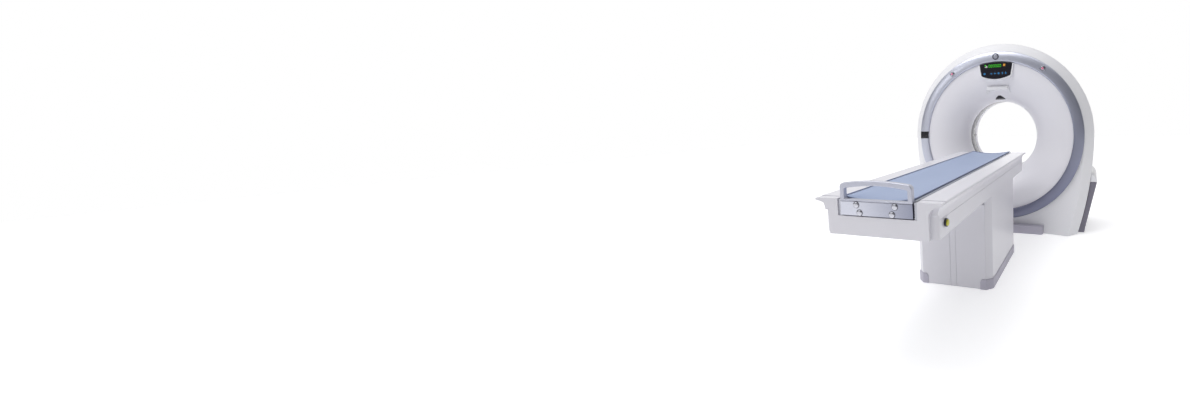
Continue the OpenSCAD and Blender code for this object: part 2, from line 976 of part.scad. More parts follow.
module stator_frame() {
    inset = cover_wall + seat;
    color(steel_grey)
        difference() {
            slab(stator_y, stator_y + stator_t)
                intersection() {
                    house_outline(house_r - inset, house_foot_w - inset, 0);
                    translate([-house_r, frame_h])
                        square([2 * house_r, iso_h + house_r]);
                }
            around_bore([
                [0, stator_y - 1], [race_r + race_w, stator_y - 1],
                [race_r + race_w, stator_y + stator_t + 1], [0, stator_y + stator_t + 1]
            ]);
            translate([pulley_x, stator_y - 1, pulley_h])
                rotate([-90, 0, 0])
                    cylinder(stator_t + 2, r = 2 * shaft_r);
            both_sides()
                translate([stator_hole_x, stator_y - 1, stator_hole_h])
                    rotate([-90, 0, 0])
                        cylinder(stator_t + 2, r = stator_hole_r);
        }
}

module race(inner, outer) {
    around_bore([
        [inner, stator_y + 2], [outer, stator_y + 2],
        [outer, stator_y + stator_t - 2], [inner, stator_y + stator_t - 2]
    ]);
}

module bearing_outer_race() {
    color(bright)
        race(race_r + run_fit, race_r + race_w);
}

module bearing_inner_race() {
    color(bright)
        race(race_r - race_w, race_r);
}

module rotor_disc() {
    sleeve_r = race_r - race_w;
    color(steel_grey)
        difference() {
            around_bore([
                [disc_bore_r, disc_y], [disc_r, disc_y], [disc_r, disc_y + disc_t], [sleeve_r, disc_y + disc_t],
                [sleeve_r, sleeve_back_y], [sleeve_r - sleeve_w, sleeve_back_y],
                [sleeve_r - sleeve_w, disc_y + disc_t],
                [disc_bore_r, disc_y + disc_t]
            ]);
            for (i = [0:11])
                translate([0, 0, iso_h])
                    rotate([0, 15 + 30 * i, 0])
                        translate([0, disc_y - 1, disc_r - disc_hole_in])
                            rotate([-90, 0, 0])
                                cylinder(disc_t + 2, r = disc_hole_r, $fn = 48);
        }
}

// Places a piece on the rotating disc at an angle from the top, drawn as if it stood at the top
module on_disc(angle) {
    translate([0, 0, iso_h])
        rotate([0, angle, 0])
            children();
}

module xray_tube() {
    color("#b9b2a4")
        on_disc(0) {
            translate([0, disc_y, tube_h])
                rotate([90, 0, 0])
                    cylinder(tube_l, r = tube_r);
            translate([0, disc_y - tube_l, tube_h])
                rotate([90, 0, 0])
                    cylinder(tube_nose, r1 = tube_r, r2 = tube_r - tube_nose);
            translate([-port_w / 2, -port_w / 2, tube_h - tube_r - tube_port])
                cube([port_w, port_w, tube_port + tube_r / 2]);
        }
}

module beam_collimator() {
    box = collimator_box;
    slot = collimator_slot;
    top = tube_h - tube_r - tube_port - seat;
    color(dark_grey)
        on_disc(0)
            difference() {
                translate([-box[0] / 2, disc_y - box[1], top - box[2]])
                    cube(box);
                translate([-slot[0] / 2, -slot[1] / 2, top - box[2] - 1])
                    cube([slot[0], slot[1], box[2] + 2]);
            }
}

module detector_arc() {
    back_r = detector_r + detector_depth;
    reach = 2 * back_r;
    color("#5d6673")
        intersection() {
            around_bore([
                [detector_r, detector_y], [back_r, detector_y], [back_r, disc_y], [detector_r, disc_y]
            ]);
            slab(detector_y - 1, disc_y + 1)
                translate([0, iso_h])
                    polygon([
                        [0, 0], [-reach * sin(detector_half_angle), -reach * cos(detector_half_angle)],
                        [reach * sin(detector_half_angle), -reach * cos(detector_half_angle)]
                    ]);
        }
}

// Box on the disc's front face, given as [across, deep, outwards], at a radius
module disc_box(angle, box, r) {
    on_disc(angle)
        translate([-box[0] / 2, disc_y - box[1], r])
            cube(box);
}

module power_inverter() {
    color("#8e949c")
        disc_box(-unit_angle, unit_box, unit_r);
}

module high_voltage_tank() {
    color("#a9adb3")
        disc_box(unit_angle, unit_box, unit_r);
}

module counterweight() {
    color("#6b6f76")
        for (a = [-weight_angle, weight_angle])
            disc_box(a, weight_box, weight_r);
}

module data_unit() {
    color("#7c8a78")
        for (a = [-data_angle, data_angle])
            disc_box(a, data_box, data_r);
}

module slip_ring() {
    outer = race_r - race_w - slip_in;
    track = slip_w / 5;
    groove = [0, 0, -3, -3, 0, 0, -3, -3, 0, 0];
    color("#b58a4a")
        around_bore(concat(
            [[outer - sleeve_w - slip_in, slip_back_y], [outer - sleeve_w - slip_in, sleeve_back_y]],
            [for (i = [0:9]) [outer + groove[i], sleeve_back_y + track * floor((i + 1) / 2)]]
        ));
}

module brush_block() {
    outer = race_r - race_w - slip_in + slide_gap;
    sleeve = race_r - race_w + 1;
    color(panel_black)
        difference() {
            translate([-brush_box[0] / 2, stator_y + stator_t, iso_h + outer - brush_rise])
                cube(brush_box);
            around_bore([[0, stator_y], [outer, stator_y], [outer, rear_y], [0, rear_y]]);
            around_bore([
                [0, stator_y], [sleeve, stator_y], [sleeve, sleeve_back_y + 1], [0, sleeve_back_y + 1]
            ]);
        }
}

module drive_motor() {
    color(steel_grey)
        difference() {
            translate([pulley_x, stator_y + stator_t, pulley_h])
                rotate([-90, 0, 0])
                    cylinder(motor_l, r = motor_r);
            translate([pulley_x, stator_y, pulley_h])
                rotate([-90, 0, 0])
                    cylinder(stator_t + shaft_l + 5, r = shaft_r + run_fit);
        }
}

module motor_pulley() {
    color(bright)
        translate([pulley_x, 0, pulley_h])
            rotate([-90, 0, 0]) {
                translate([0, 0, disc_y + 2])
                    cylinder(disc_t - 4, r = pulley_r);
                translate([0, 0, disc_y + 2])
                    cylinder(stator_y + stator_t + shaft_l - disc_y - 2, r = shaft_r);
            }
}

module belt_loop(out) {
    hull() {
        translate([0, iso_h])
            circle(disc_r + out, $fn = 120);
        translate([pulley_x, pulley_h])
            circle(pulley_r + out, $fn = 48);
    }
}

module drive_belt() {
    color(panel_black)
        slab(disc_y + 6, disc_y + disc_t - 6)
            difference() {
                belt_loop(belt_gap + belt_t);
                belt_loop(belt_gap);
            }
}

module table_base() {
    color(steel_grey)
        difference() {
            union() {
                linear_extrude(base_plate_t)
                    ped_outline(ped_wall + seat);
                for (s = [-1, 1])
                    translate([0, column_mid_y + s * column_gap / 2, 0])
                        cylinder(column_foot_h, r = column_r + 14);
            }
            for (x = [-table_hole_x, table_hole_x])
                for (y = [ped_front_y + table_hole_end, ped_back_y - table_hole_end])
                    translate([x, y, -1])
                        cylinder(base_plate_t + 2, r = table_hole_r);
        }
}

module ped_outline(inset) {
    c = ped_chamfer;
    w = ped_w - inset;
    f = ped_front_y + inset;
    b = ped_back_y - inset;
    polygon([
        [-w + c, f], [w - c, f], [w, f + c], [w, b], [-w, b], [-w, f + c]
    ]);
}

module pedestal_end_panels() {
    color(white)
        difference() {
            translate([0, 0, cover_lift])
                linear_extrude(ped_end_h - cover_lift)
                    intersection() {
                        difference() {
                            ped_outline(0);
                            ped_outline(ped_wall);
                        }
                        union() {
                            translate([-ped_w + ped_chamfer, ped_front_y - 1])
                                square([2 * (ped_w - ped_chamfer), ped_wall + 2]);
                            translate([-ped_w + ped_wall, ped_back_y - ped_wall])
                                square([2 * (ped_w - ped_wall), ped_wall + 1]);
                        }
                    }
            for (x = [-groove_x, groove_x])
                translate([x - 2, ped_front_y - 1, 0])
                    cube([4, 4, ped_end_h + 1]);
        }
}

module pedestal_side_panels() {
    color(white)
        translate([0, 0, cover_lift])
            linear_extrude(ped_side_h - cover_lift)
                difference() {
                    ped_outline(0);
                    ped_outline(ped_wall);
                    translate([-ped_w + ped_chamfer, ped_front_y - 1])
                        square([2 * (ped_w - ped_chamfer), ped_wall + 2]);
                    translate([-ped_w + ped_wall, ped_back_y - ped_wall])
                        square([2 * (ped_w - ped_wall), ped_wall + 1]);
                }
}

module pedestal_bumpers() {
    corner_w = bumper_w;
    color(bumper_grey)
        translate([0, 0, cover_lift]) {
            linear_extrude(bumper_h)
                intersection() {
                    difference() {
                        ped_outline(-bumper_proud);
                        ped_outline(0);
                    }
                    both_sides()
                        translate([ped_w - corner_w, ped_front_y - 10])
                            square([corner_w + 10, corner_w + 10]);
                }
            linear_extrude(bumper_h - 6)
                both_sides()
                    translate([ped_w, ped_front_y + corner_w])
                        square([bumper_proud, ped_back_y - ped_front_y - corner_w]);
        }
}

module column_tube(r, low, high) {
    for (s = [-1, 1])
        translate([0, column_mid_y + s * column_gap / 2, low])
            difference() {
                cylinder(high - low, r = r);
                translate([0, 0, -1])
                    cylinder(high - low + 2, r = r - column_wall);
            }
}

module lift_columns_outer() {
    color(steel_grey)
        column_tube(column_r, column_foot_h, column_top);
}

module lift_columns_inner() {
    color(bright)
        column_tube(
            column_r - column_wall - slide_gap, column_top - column_overlap,
            channel_h - channel_floor_t - head_plate[2]
        );
}

// Frame of the table top: the channel floor, its walls and the plates over the columns
module table_frame() {
    low = channel_h - channel_floor_t;
    color(steel_grey)
        difference() {
            union() {
                slab(table_foot_y + foot_t, table_head_y - head_t)
                    difference() {
                        translate([-channel_w - channel_wall, low])
                            square([2 * (channel_w + channel_wall), wing_h - wing_plate - low]);
                        translate([-channel_w, channel_h])
                            square([2 * channel_w, channel_depth]);
                    }
                for (s = [-1, 1])
                    translate([
                        -head_plate[0] / 2,
                        column_mid_y + s * column_gap / 2 - head_plate[1] / 2,
                        low - head_plate[2]
                    ])
                        cube(head_plate + [0, 0, 1]);
                both_sides() {
                    slab(table_foot_y + 10, table_head_y - 4)
                        slide_rail();
                    slab(table_foot_y + foot_t, table_head_y - head_t)
                        translate([slide_rail_x, channel_h - 1])
                            square([channel_w + 1 - slide_rail_x, wing_h - wing_plate - channel_h]);
                }
            }
            translate([-wheel_w / 2 - 17, wheel_y - wheel_r - 6, low - 40])
                cube([wheel_w + 34, 2 * wheel_r + 12, 60]);
        }
}

// Grooved rail at the side of the channel, just under the edge of the cradle that it carries
module slide_rail() {
    cut = rail_groove[0];
    w = rail_groove[1];
    polygon(concat(
        [[slide_rail_x, channel_h + seat]],
        [for (i = [0:4], q = [[0, 0], [cut, 0], [cut, w], [0, w]])
            [slide_rail_x + q[0], channel_h + 10 + i * rail_groove[2] + q[1]]],
        [
            [slide_rail_x, slide_rail_h], [channel_w - seat, slide_rail_h],
            [channel_w - seat, channel_h + seat]
        ]
    ));
}

module inner_sleeve() {
    color(shade)
        translate([0, 0, sleeve_low])
            linear_extrude(channel_h - channel_floor_t - sleeve_low)
                difference() {
                    ped_outline(ped_wall + sleeve_gap);
                    ped_outline(ped_wall + sleeve_gap + sleeve_wall);
                }
}

// Top edge and rounded tip of the right wing
wing_tip = [
    [wing_w - 6, wing_h - 3], [wing_w, wing_h - 8], [wing_w, wing_h - wing_t + 4]
];

// Hollow underside of the right wing: a quarter of an ellipse from its tip in to a half width
function wing_under(half) =
    let (steps = 8, tip_x = wing_w - 4, low = wing_h - wing_t - wing_drop)
    [for (i = [0:steps]) let (a = 90 * i / steps) [tip_x - (tip_x - half) * sin(a), low + wing_drop * cos(a)]];

// Right half of the beam's section: wing, hollow underside and side skirt
module beam_side() {
    polygon(concat(
        [[channel_w, wing_h]], wing_tip, wing_under(beam_w),
        [
            [beam_w, beam_low_h], [beam_w - skirt_wall, beam_low_h],
            [beam_w - skirt_wall, wing_h - wing_plate], [channel_w, wing_h - wing_plate]
        ]
    ));
}

module beam_covers() {
    color(white)
        both_sides()
            difference() {
                slab(table_foot_y + foot_t, table_head_y - head_t)
                    beam_side();
                translate([beam_w - seam_w / 2, table_foot_y, wing_h - wing_t - wing_drop - 22])
                    cube([seam_w, table_l, seam_w]);
                translate([beam_w - skirt_wall - 1, lock_y, lock_h])
                    rotate([0, 90, 0])
                        cylinder(skirt_wall + 2, r = lock_cap_r + 2);
            }
}

// Section of the table's end at a half width, from the wings down to a height
module end_section(half, low) {
    both_sides()
        polygon(concat([[-1, wing_h]], wing_tip, wing_under(half), [[half, low], [-1, low]]));
}

// Plan of the foot cover's body: quarter-round shoulders behind the front panel
module shoulder_plan(front, back) {
    steps = 8;
    inner = foot_panel_w + 4;
    curve = [for (i = [0:steps]) let (a = 90 * i / steps)
        [inner + (beam_w - inner) * sin(a), back - (back - front) * cos(a)]];
    both_sides()
        polygon(concat([[-1, back], [-1, front - 1], [inner, front - 1]], curve));
}

module table_end_covers() {
    front = table_foot_y + 4;
    shoulder = table_foot_y + foot_panel_t;
    back = table_foot_y + foot_t;
    wing_low = wing_h - wing_t - wing_drop;
    color(white)
        difference() {
            union() {
                slab(front, shoulder)
                    end_section(foot_panel_w, beam_low_h);
                slab(shoulder - 1, back)
                    end_section(beam_w, wing_low);
                translate([0, 0, beam_low_h])
                    linear_extrude(wing_low + 1 - beam_low_h)
                        shoulder_plan(shoulder, back);
                slab(table_head_y - head_t, table_head_y)
                    end_section(beam_w, beam_low_h);
            }
            slab(table_foot_y - 1, table_head_y + 1)
                translate([-channel_w, channel_h])
                    square([2 * channel_w, wing_h]);
        }
}

module cradle_drive() {
    low = channel_h - channel_floor_t;
    color(steel_grey)
        difference() {
            union() {
                translate([cheek_x, wheel_y - drive_l / 2, low - drive_depth])
                    cube([drive_motor_w, drive_l, drive_depth]);
                both_sides()
                    translate([cheek_x, wheel_y - 16, low - drive_depth])
                        cube([cheek_t, 32, wheel_h + 12 - low + drive_depth]);
                translate([-cheek_x - cheek_t, wheel_y - drive_l / 2, low - drive_depth])
                    cube([2 * cheek_x + 2 * cheek_t, drive_l, 12]);
            }
            translate([-cheek_x - cheek_t - 1, wheel_y, wheel_h])
                rotate([0, 90, 0])
                    cylinder(2 * (cheek_x + cheek_t + 1), r = wheel_shaft_r + run_fit, $fn = 48);
        }
}

module drive_wheel() {
    color(panel_black)
        translate([-wheel_w / 2, wheel_y, wheel_h])
            rotate([0, 90, 0]) {
                cylinder(wheel_w, r = wheel_r, $fn = 64);
                translate([0, 0, -12])
                    cylinder(wheel_w + 24, r = wheel_shaft_r, $fn = 48);
            }
}

module side_release_collar() {
    color(panel_black)
        translate([beam_w, lock_y, lock_h])
            rotate([0, 90, 0])
                difference() {
                    cylinder(11, r = lock_r, $fn = 64);
                    translate([0, 0, -1])
                        cylinder(13, r = lock_cap_r + slide_gap, $fn = 64);
                }
}

module side_release() {
    color("#b9b53a")
        translate([beam_w - skirt_wall + 1 + lock_travel, lock_y, lock_h])
            rotate([0, 90, 0])
                cylinder(skirt_wall + 12, r = lock_cap_r, $fn = 64);
}

module cradle_section() {
    intersection() {
        difference() {
            translate([0, cradle_mid_h])
                circle(cradle_arc, $fn = 360);
            translate([0, cradle_mid_h])
                circle(cradle_arc - cradle_wall, $fn = 360);
        }
        translate([-cradle_w, cradle_low_h - 5])
            square([2 * cradle_w, cradle_edge_h - cradle_low_h + 5]);
    }
}

module cradle() {
    color(bright)
        slab(cradle_foot_y, cradle_head_y)
            cradle_section();
}

module mattress_section() {
    difference() {
        intersection() {
            translate([0, cradle_mid_h])
                circle(cradle_arc - cradle_wall - seat, $fn = 360);
            translate([-mat_w, cradle_low_h])
                square([2 * mat_w, mat_edge_h - cradle_low_h]);
        }
        translate([0, mat_mid_h])
            circle(mat_arc, $fn = 720);
    }
}

module mattress() {
    color(mat_blue)
        slab(cradle_foot_y, cradle_head_y)
            mattress_section();
}

// Places a piece at each of the end plate's four caps
module at_caps() {
    both_sides() {
        translate([cap_spread, table_foot_y, plate_top_h - cap_inset])
            children();
        translate([cap_spread - cap_lean, table_foot_y, plate_low_h + cap_inset])
            children();
    }
}

module end_plate() {
    color("#b8bac8")
        difference() {
            slab(table_foot_y, cradle_foot_y)
                translate([-plate_w, plate_low_h])
                    square([2 * plate_w, plate_top_h - plate_low_h]);
            at_caps()
                translate([0, -1, 0])
                    rotate([-90, 0, 0])
                        cylinder(3, r = cap_r + 1, $fn = 48);
        }
}

module screw_caps() {
    dome = 3;
    color(bright)
        at_caps()
            translate([0, 2, 0])
                rotate([90, 0, 0]) {
                    cylinder(4, r = cap_r, $fn = 48);
                    translate([0, 0, 4 - eps])
                        cylinder(dome, r1 = cap_r, r2 = cap_r - dome, $fn = 48);
                }
}

// The handle's arch with rounded shoulders, drawn in X and Z about the middle of the end plate's top
module handle_arch(half, top, low, shoulder_r) {
    rise = 14;
    arch = (half * half + rise * rise) / (2 * rise);
    corner_x = half - shoulder_r;
    corner_h = top - arch + sqrt(pow(arch - shoulder_r, 2) - corner_x * corner_x);
    touch_x = corner_x * arch / (arch - shoulder_r);
    intersection() {
        translate([0, top - arch])
            circle(arch, $fn = 360);
        union() {
            translate([-half, low])
                square([2 * half, corner_h - low]);
            translate([-touch_x, low])
                square([2 * touch_x, top - low]);
            for (x = [-corner_x, corner_x])
                translate([x, corner_h])
                    circle(shoulder_r);
        }
    }
}

module end_handle() {
    color(white)
        slab(table_foot_y, table_foot_y + handle_depth)
            difference() {
                handle_arch(plate_w, handle_top_h, plate_top_h, handle_bar);
                handle_arch(plate_w - handle_bar, handle_top_h - handle_bar, plate_top_h + 10, 4);
            }
}

base_frame();
stator_frame();
bearing_outer_race();
bearing_inner_race();
rotor_disc();
xray_tube();
beam_collimator();
detector_arc();
power_inverter();
high_voltage_tank();
counterweight();
data_unit();
slip_ring();
brush_block();
drive_motor();
motor_pulley();
drive_belt();
front_cover();
front_funnel();
accent_ring();
top_cover();
side_covers();
rear_cover();
rear_funnel();
scan_window();
rear_liner();
flank_covers();
flank_caps();
floor_plinth();
cable_trough();
panel_pod();
panel_face();
panel_display();
panel_keys();
laser_brow();
laser_windows();
ring_badge();
side_plate();
stop_bezels();
stop_button_left();
stop_button_right();
table_base();
pedestal_end_panels();
pedestal_side_panels();
pedestal_bumpers();
lift_columns_outer();
lift_columns_inner();
table_frame();
inner_sleeve();
beam_covers();
table_end_covers();
cradle_drive();
drive_wheel();
side_release_collar();
side_release();
cradle();
mattress();
end_plate();
screw_caps();
end_handle();
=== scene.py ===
import math

import bmesh
import bpy
from mathutils import Matrix, Vector


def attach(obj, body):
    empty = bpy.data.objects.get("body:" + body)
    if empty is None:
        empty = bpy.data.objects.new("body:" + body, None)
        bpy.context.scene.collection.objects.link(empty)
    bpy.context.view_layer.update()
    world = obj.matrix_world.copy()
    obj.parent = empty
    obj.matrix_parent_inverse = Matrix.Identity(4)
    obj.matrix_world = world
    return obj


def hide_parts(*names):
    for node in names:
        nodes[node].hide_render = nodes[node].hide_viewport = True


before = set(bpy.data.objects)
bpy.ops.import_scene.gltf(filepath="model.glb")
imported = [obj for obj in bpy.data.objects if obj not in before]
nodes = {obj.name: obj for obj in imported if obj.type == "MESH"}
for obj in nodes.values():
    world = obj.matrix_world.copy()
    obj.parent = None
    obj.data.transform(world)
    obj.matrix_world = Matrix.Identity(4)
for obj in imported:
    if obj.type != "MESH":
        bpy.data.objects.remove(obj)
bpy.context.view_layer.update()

MM = 0.001

# Sizes of the gantry, in metres, as the part's source has them
ISO = 0.940
HOUSE_R, HOUSE_FOOT_W = 0.900, 0.760
BEVEL_R, APRON_FOOT_W = 0.818, 0.675
FACE_Y, APRON_FOOT_Y = -0.335, -0.410
BEVEL_BACK_Y, BEVEL_FLOOR_Y = -0.250, -0.312
SIDE_BACK_Y, REAR_Y, REAR_BEVEL = 0.330, 0.430, 0.060
COVER_LIFT, COVER_WALL = 0.004, 0.008
RING_OUTER_R, RING_INNER_R = 0.816, 0.720
LIP_R, BORE_R, LIP_Y = 0.7195, 0.350, -0.078
BOWL_Y, FUNNEL_WALL, REAR_MOUTH_R = -0.356, 0.007, 0.590
APRON_R, APRON_END_R = 0.850, 1.1572
RING_SEAT_R = 0.768
PLINTH_W, PLINTH_H, PLINTH_Y = 0.448, 0.082, -0.412
PANEL_Y, PANEL_LOW = -0.376, ISO + 0.558
RING_MID_R, RING_CROWN_Y = (RING_OUTER_R + RING_INNER_R) / 2, -0.372
SIDE_PLATE_LOW, SIDE_PLATE_H = ISO - 0.005, 0.070
STOP_ANGLE = math.radians(35)
BROW_TOP_R, BROW_W, BROW_SPLAY, BROW_LEG = 0.4956, 0.110, 0.018, 0.017
BROW_LEDGE, BROW_DEPTH, BROW_PROUD, BROW_SOFT = 0.035, 0.075, 0.026, 0.012
VENTS, VENT_PITCH, VENT_LOW, VENT_W, VENT_H, VENT_INSET = 8, 0.026, 0.110, 0.200, 0.012, 0.220

# Angles from the top, round the bore's axis, at which the wall's seams and its ends at the floor lie
TOP_SEAM, SIDE_SEAM, SIDE_END = 1.2074, 1.2088, 2.4620

# Wall of the front and rear covers, in mm
MOULDED_WALL = 6

# Sizes of the table
TABLE_HEAD_Y, TABLE_FOOT_Y = -0.577, -2.656
WING_W, WING_H, WING_T, WING_DROP = 0.315, 0.818, 0.016, 0.046
BEAM_W, BEAM_LOW = 0.281, 0.650
CHANNEL_W, FOOT_T, HEAD_T = 0.196, 0.046, 0.023
PLATE_W, PLATE_LOW, PLATE_TOP, PLATE_DEPTH = 0.178, 0.743, 0.806, 0.026
HANDLE_TOP, HANDLE_BAR = 0.900, 0.022
MAT_W, MAT_EDGE_H, MAT_DIP = 0.178, 0.826, 0.019
CRADLE_R, CRADLE_MID_H, CRADLE_WALL = 0.4236, 1.1956, 0.010
CRADLE_HEAD_Y, CRADLE_FOOT_Y = -0.583, -2.630
PAD_RISE, PAD_SINK, FILL_STEPS = 0.005, 0.0008, 20
PED_W, PED_FRONT_Y, PED_BACK_Y = 0.267, -1.700, -0.937
BUMPER_TOP, BUMPER_RUN, BUMPER_R, KICK_TOP = 0.076, 0.137, 0.020, 0.070


# Colours, nodes and finishes

def linear(code):
    """An sRGB hex colour as Blender's linear one."""
    parts = [int(code[i:i + 2], 16) / 255 for i in (1, 3, 5)]
    return tuple(c / 12.92 if c <= 0.04045 else ((c + 0.055) / 1.055) ** 2.4 for c in parts) + (1.0,)


def add(tree, kind, inputs=None, **settings):
    """Adds a node with its settings, and gives each input a value or a link."""
    node = tree.nodes.new(kind)
    for name, value in settings.items():
        setattr(node, name, value)
    for key, value in (inputs or {}).items():
        if isinstance(value, bpy.types.NodeSocket):
            tree.links.new(value, node.inputs[key])
        else:
            node.inputs[key].default_value = value
    return node


def finish_of(name, colour, second=None, roughness=0.4, metallic=0.0, cloud=400, cloud_mix=0.5, grain=2.0,
              lift=0.02, swing=0.06, stretch=(1, 1, 1), fade=None, **shader):
    """A surface whose colour drifts between two tones over cloud mm, with a grain of grain mm, lift mm deep.

    A fade, given as (direction, start, end), turns the first tone into the second along that direction instead, as
    painted shade."""
    material = bpy.data.materials.new(name)
    material.use_nodes = True
    tree = material.node_tree
    tree.nodes.clear()
    place = add(tree, "ShaderNodeTexCoord")
    drawn = add(tree, "ShaderNodeMapping", {"Vector": place.outputs["Object"], "Scale": stretch})
    drift = add(tree, "ShaderNodeTexNoise", {"Vector": place.outputs["Object"], "Scale": 1000 / cloud, "Detail": 3.0})
    fine = add(tree, "ShaderNodeTexNoise", {"Vector": drawn.outputs["Vector"], "Scale": 1000 / grain, "Detail": 2.0})
    # A fade paints light and shade into the tone along its direction
    if fade:
        along = add(tree, "ShaderNodeVectorMath", {0: place.outputs["Object"], 1: fade[0]}, operation="DOT_PRODUCT")
        share = add(tree, "ShaderNodeMapRange", {
            "Value": along.outputs["Value"], "From Min": fade[1], "From Max": fade[2]})
    else:
        share = add(tree, "ShaderNodeMath", {0: drift.outputs["Fac"], 1: cloud_mix}, operation="MULTIPLY")
    tone = add(tree, "ShaderNodeMix", {0: share.outputs[0], 6: linear(colour), 7: linear(second or colour)},
               data_type="RGBA")
    rough = add(tree, "ShaderNodeMapRange", {
        "Value": fine.outputs["Fac"], "To Min": roughness - swing, "To Max": roughness + swing})
    relief = add(tree, "ShaderNodeBump", {"Height": fine.outputs["Fac"], "Distance": lift * MM, "Strength": 1.0})
    inputs = {"Base Color": tone.outputs[2], "Metallic": metallic, "Roughness": rough.outputs["Result"],
              "Normal": relief.outputs["Normal"]}
    inputs.update({key.replace("_", " "): value for key, value in shader.items()})
    surface = add(tree, "ShaderNodeBsdfPrincipled", inputs)
    add(tree, "ShaderNodeOutputMaterial", {"Surface": surface.outputs["BSDF"]})
    return material


# Where a real grain, of 0.1 to 1 mm, would be too fine to show, it is drawn at 1 to 3 mm.

# Moulded ABS with satin white paint: soft highlights, and a faint orange peel under them
white_cover = finish_of("painted ABS cover", "#e9e9ec", "#dfdfe6", 0.38, cloud=700, grain=3, lift=0.012,
                        Coat_Weight=0.25, Coat_Roughness=0.22)
# The same moulding a shade greyer inside the bowl, where the paint is duller
funnel_white = finish_of("painted ABS funnel", "#e8e7ed", "#dfdee5", 0.42, cloud=600, grain=3, lift=0.012,
                         Coat_Weight=0.15, Coat_Roughness=0.3)
# Moulded ABS of the table's covers, wiped down often, so a little smoother
table_white = finish_of("painted ABS table cover", "#dddce3", "#d4d3db", 0.36, cloud=500, grain=3, lift=0.012,
                        Coat_Weight=0.25, Coat_Roughness=0.2)
# Pearl paint on the trim ring: a metal flake under lacquer. Light and shade are painted into its tone, from a painted
# highlight at the ring's upper left to a painted shade at its lower right, so it stays the same from every side
ring_paint = finish_of("pearl blue ring paint with painted shade", "#cbcedc", "#70738a", 0.34, 0.7, grain=1.2, lift=0.006,
                       fade=((0.6, 0, -0.8), -1.2, 0.05), Coat_Weight=0.4, Coat_Roughness=0.15)
# Smoked polycarbonate band that the beam passes through
window_smoke = finish_of("smoked polycarbonate", "#5a5863", "#4c4a55", 0.22, cloud=200, grain=4, lift=0.004)
# Grey through-dyed ABS of the covers over the feet
flank_grey = finish_of("grey ABS side cover", "#7d7a88", "#716e7b", 0.5, cloud=300, grain=1.5, lift=0.03)
# Grey moulded trim at the floor, scuffed by shoes, so its tone is uneven
floor_grey = finish_of("grey moulded kick strip", "#c0bdcb", "#afacba", 0.52, cloud=120, cloud_mix=0.8, grain=1.5,
                       lift=0.03)
# Black gloss acrylic over the controls
black_plastic = finish_of("black acrylic", "#1c1b22", "#24232b", 0.16, cloud=150, grain=5, lift=0.003,
                          Coat_Weight=0.5, Coat_Roughness=0.08)
# Lit segments: a green glow through the acrylic
display_green = finish_of("lit green segment", "#37b51f", "#2fa01a", 0.4, cloud=20, grain=2, lift=0.002,
                          Emission_Color=linear("#4fdc2c"), Emission_Strength=0.35)
# Printed key symbols in blue, orange and white, lit a little from behind
key_blue = finish_of("printed blue key mark", "#246fa4", "#1f6394", 0.4, cloud=20, grain=2, lift=0.002,
                     Emission_Color=linear("#2f86c4"), Emission_Strength=0.12)
key_orange = finish_of("lit orange key", "#c98a33", "#b87d2e", 0.4, cloud=20, grain=2, lift=0.002,
                       Emission_Color=linear("#e29a34"), Emission_Strength=0.15)
key_white = finish_of("printed white key mark", "#c5ccc5", "#b4bfb4", 0.4, cloud=20, grain=2, lift=0.002,
                      Emission_Color=linear("#dfe6df"), Emission_Strength=0.1)
# Satin nickel on bezels, caps and the badge: sharp but slightly blurred highlights
bright_metal = finish_of("satin nickel", "#c9cad2", "#bcbdc8", 0.26, 1.0, cloud=60, grain=0.8, lift=0.004)
# Rose-red cap of the stop buttons
stop_red = finish_of("rose moulded cap", "#e27fa0", "#d86f93", 0.3, cloud=30, grain=1, lift=0.004)
# Brushed stainless plate: fine lines along X, 0.25 mm apart, drawn at 1 mm so that they show. A painted shade darkens
# it towards the right
brushed_plate = finish_of("brushed stainless plate with painted shade", "#c9cbd6", "#8f92a3", 0.3, 1.0, fade=((1, 0, 0), -0.1, 0.18),
                          grain=1.0, lift=0.01, swing=0.1, stretch=(0.02, 1, 1), Anisotropic=0.6)
# Painted cast handle: grey-silver lacquer
handle_paint = finish_of("silver lacquer", "#c3c5d2", "#b4b6c5", 0.3, 0.45, cloud=200, grain=1.2, lift=0.006,
                         Coat_Weight=0.3, Coat_Roughness=0.2)
# Fibre laminate of the cradle under its grey gel coat
cradle_grey = finish_of("grey gel coat", "#c3c5d0", "#b6b8c5", 0.33, cloud=150, grain=1.5, lift=0.01,
                        Coat_Weight=0.3, Coat_Roughness=0.15)
# Clear anodised extrusion of the table's frame and rails: faint drawn lines along Y
frame_aluminium = finish_of("anodised aluminium rail", "#c2c3cb", "#b3b4be", 0.38, 1.0, cloud=300, grain=1.2,
                            lift=0.006, stretch=(1, 0.02, 1))
# Yellow moulded button
release_yellow = finish_of("yellow moulded button", "#c9c53a", "#b5b02e", 0.34, cloud=20, grain=1, lift=0.006)
# Powder coat on the welded frames and the disc: dull and even, with an orange peel
painted_steel = finish_of("grey powder coat", "#8d939b", "#81868e", 0.5, 0.1, cloud=250, grain=1.2, lift=0.05)
# Ground steel of the bearing's races and the pulley: bright, with close grinding marks
bearing_steel = finish_of("ground bearing steel", "#c5c7cb", "#b6b8bd", 0.22, 1.0, cloud=100, grain=0.6, lift=0.004)
# Chromed tubes of the lifting columns, polished along their length
column_steel = finish_of("chromed lift tube", "#b9bcc2", "#a9adb4", 0.25, 1.0, cloud=80, grain=1, lift=0.004,
                         stretch=(1, 1, 0.05))
# Cream enamel baked on the cast housings of the tube and its tank
tube_housing = finish_of("cream enamel housing", "#c9c3b4", "#bcb6a7", 0.4, cloud=90, grain=1.2, lift=0.03)
# Painted sheet housings of the electronics and the motor
unit_grey = finish_of("painted sheet housing", "#8e949c", "#82888f", 0.45, 0.1, cloud=80, grain=1, lift=0.03)
# Lacquered circuit boards of the data units
circuit_green = finish_of("lacquered board", "#6b8f6e", "#5f8362", 0.4, cloud=30, grain=2, lift=0.03)
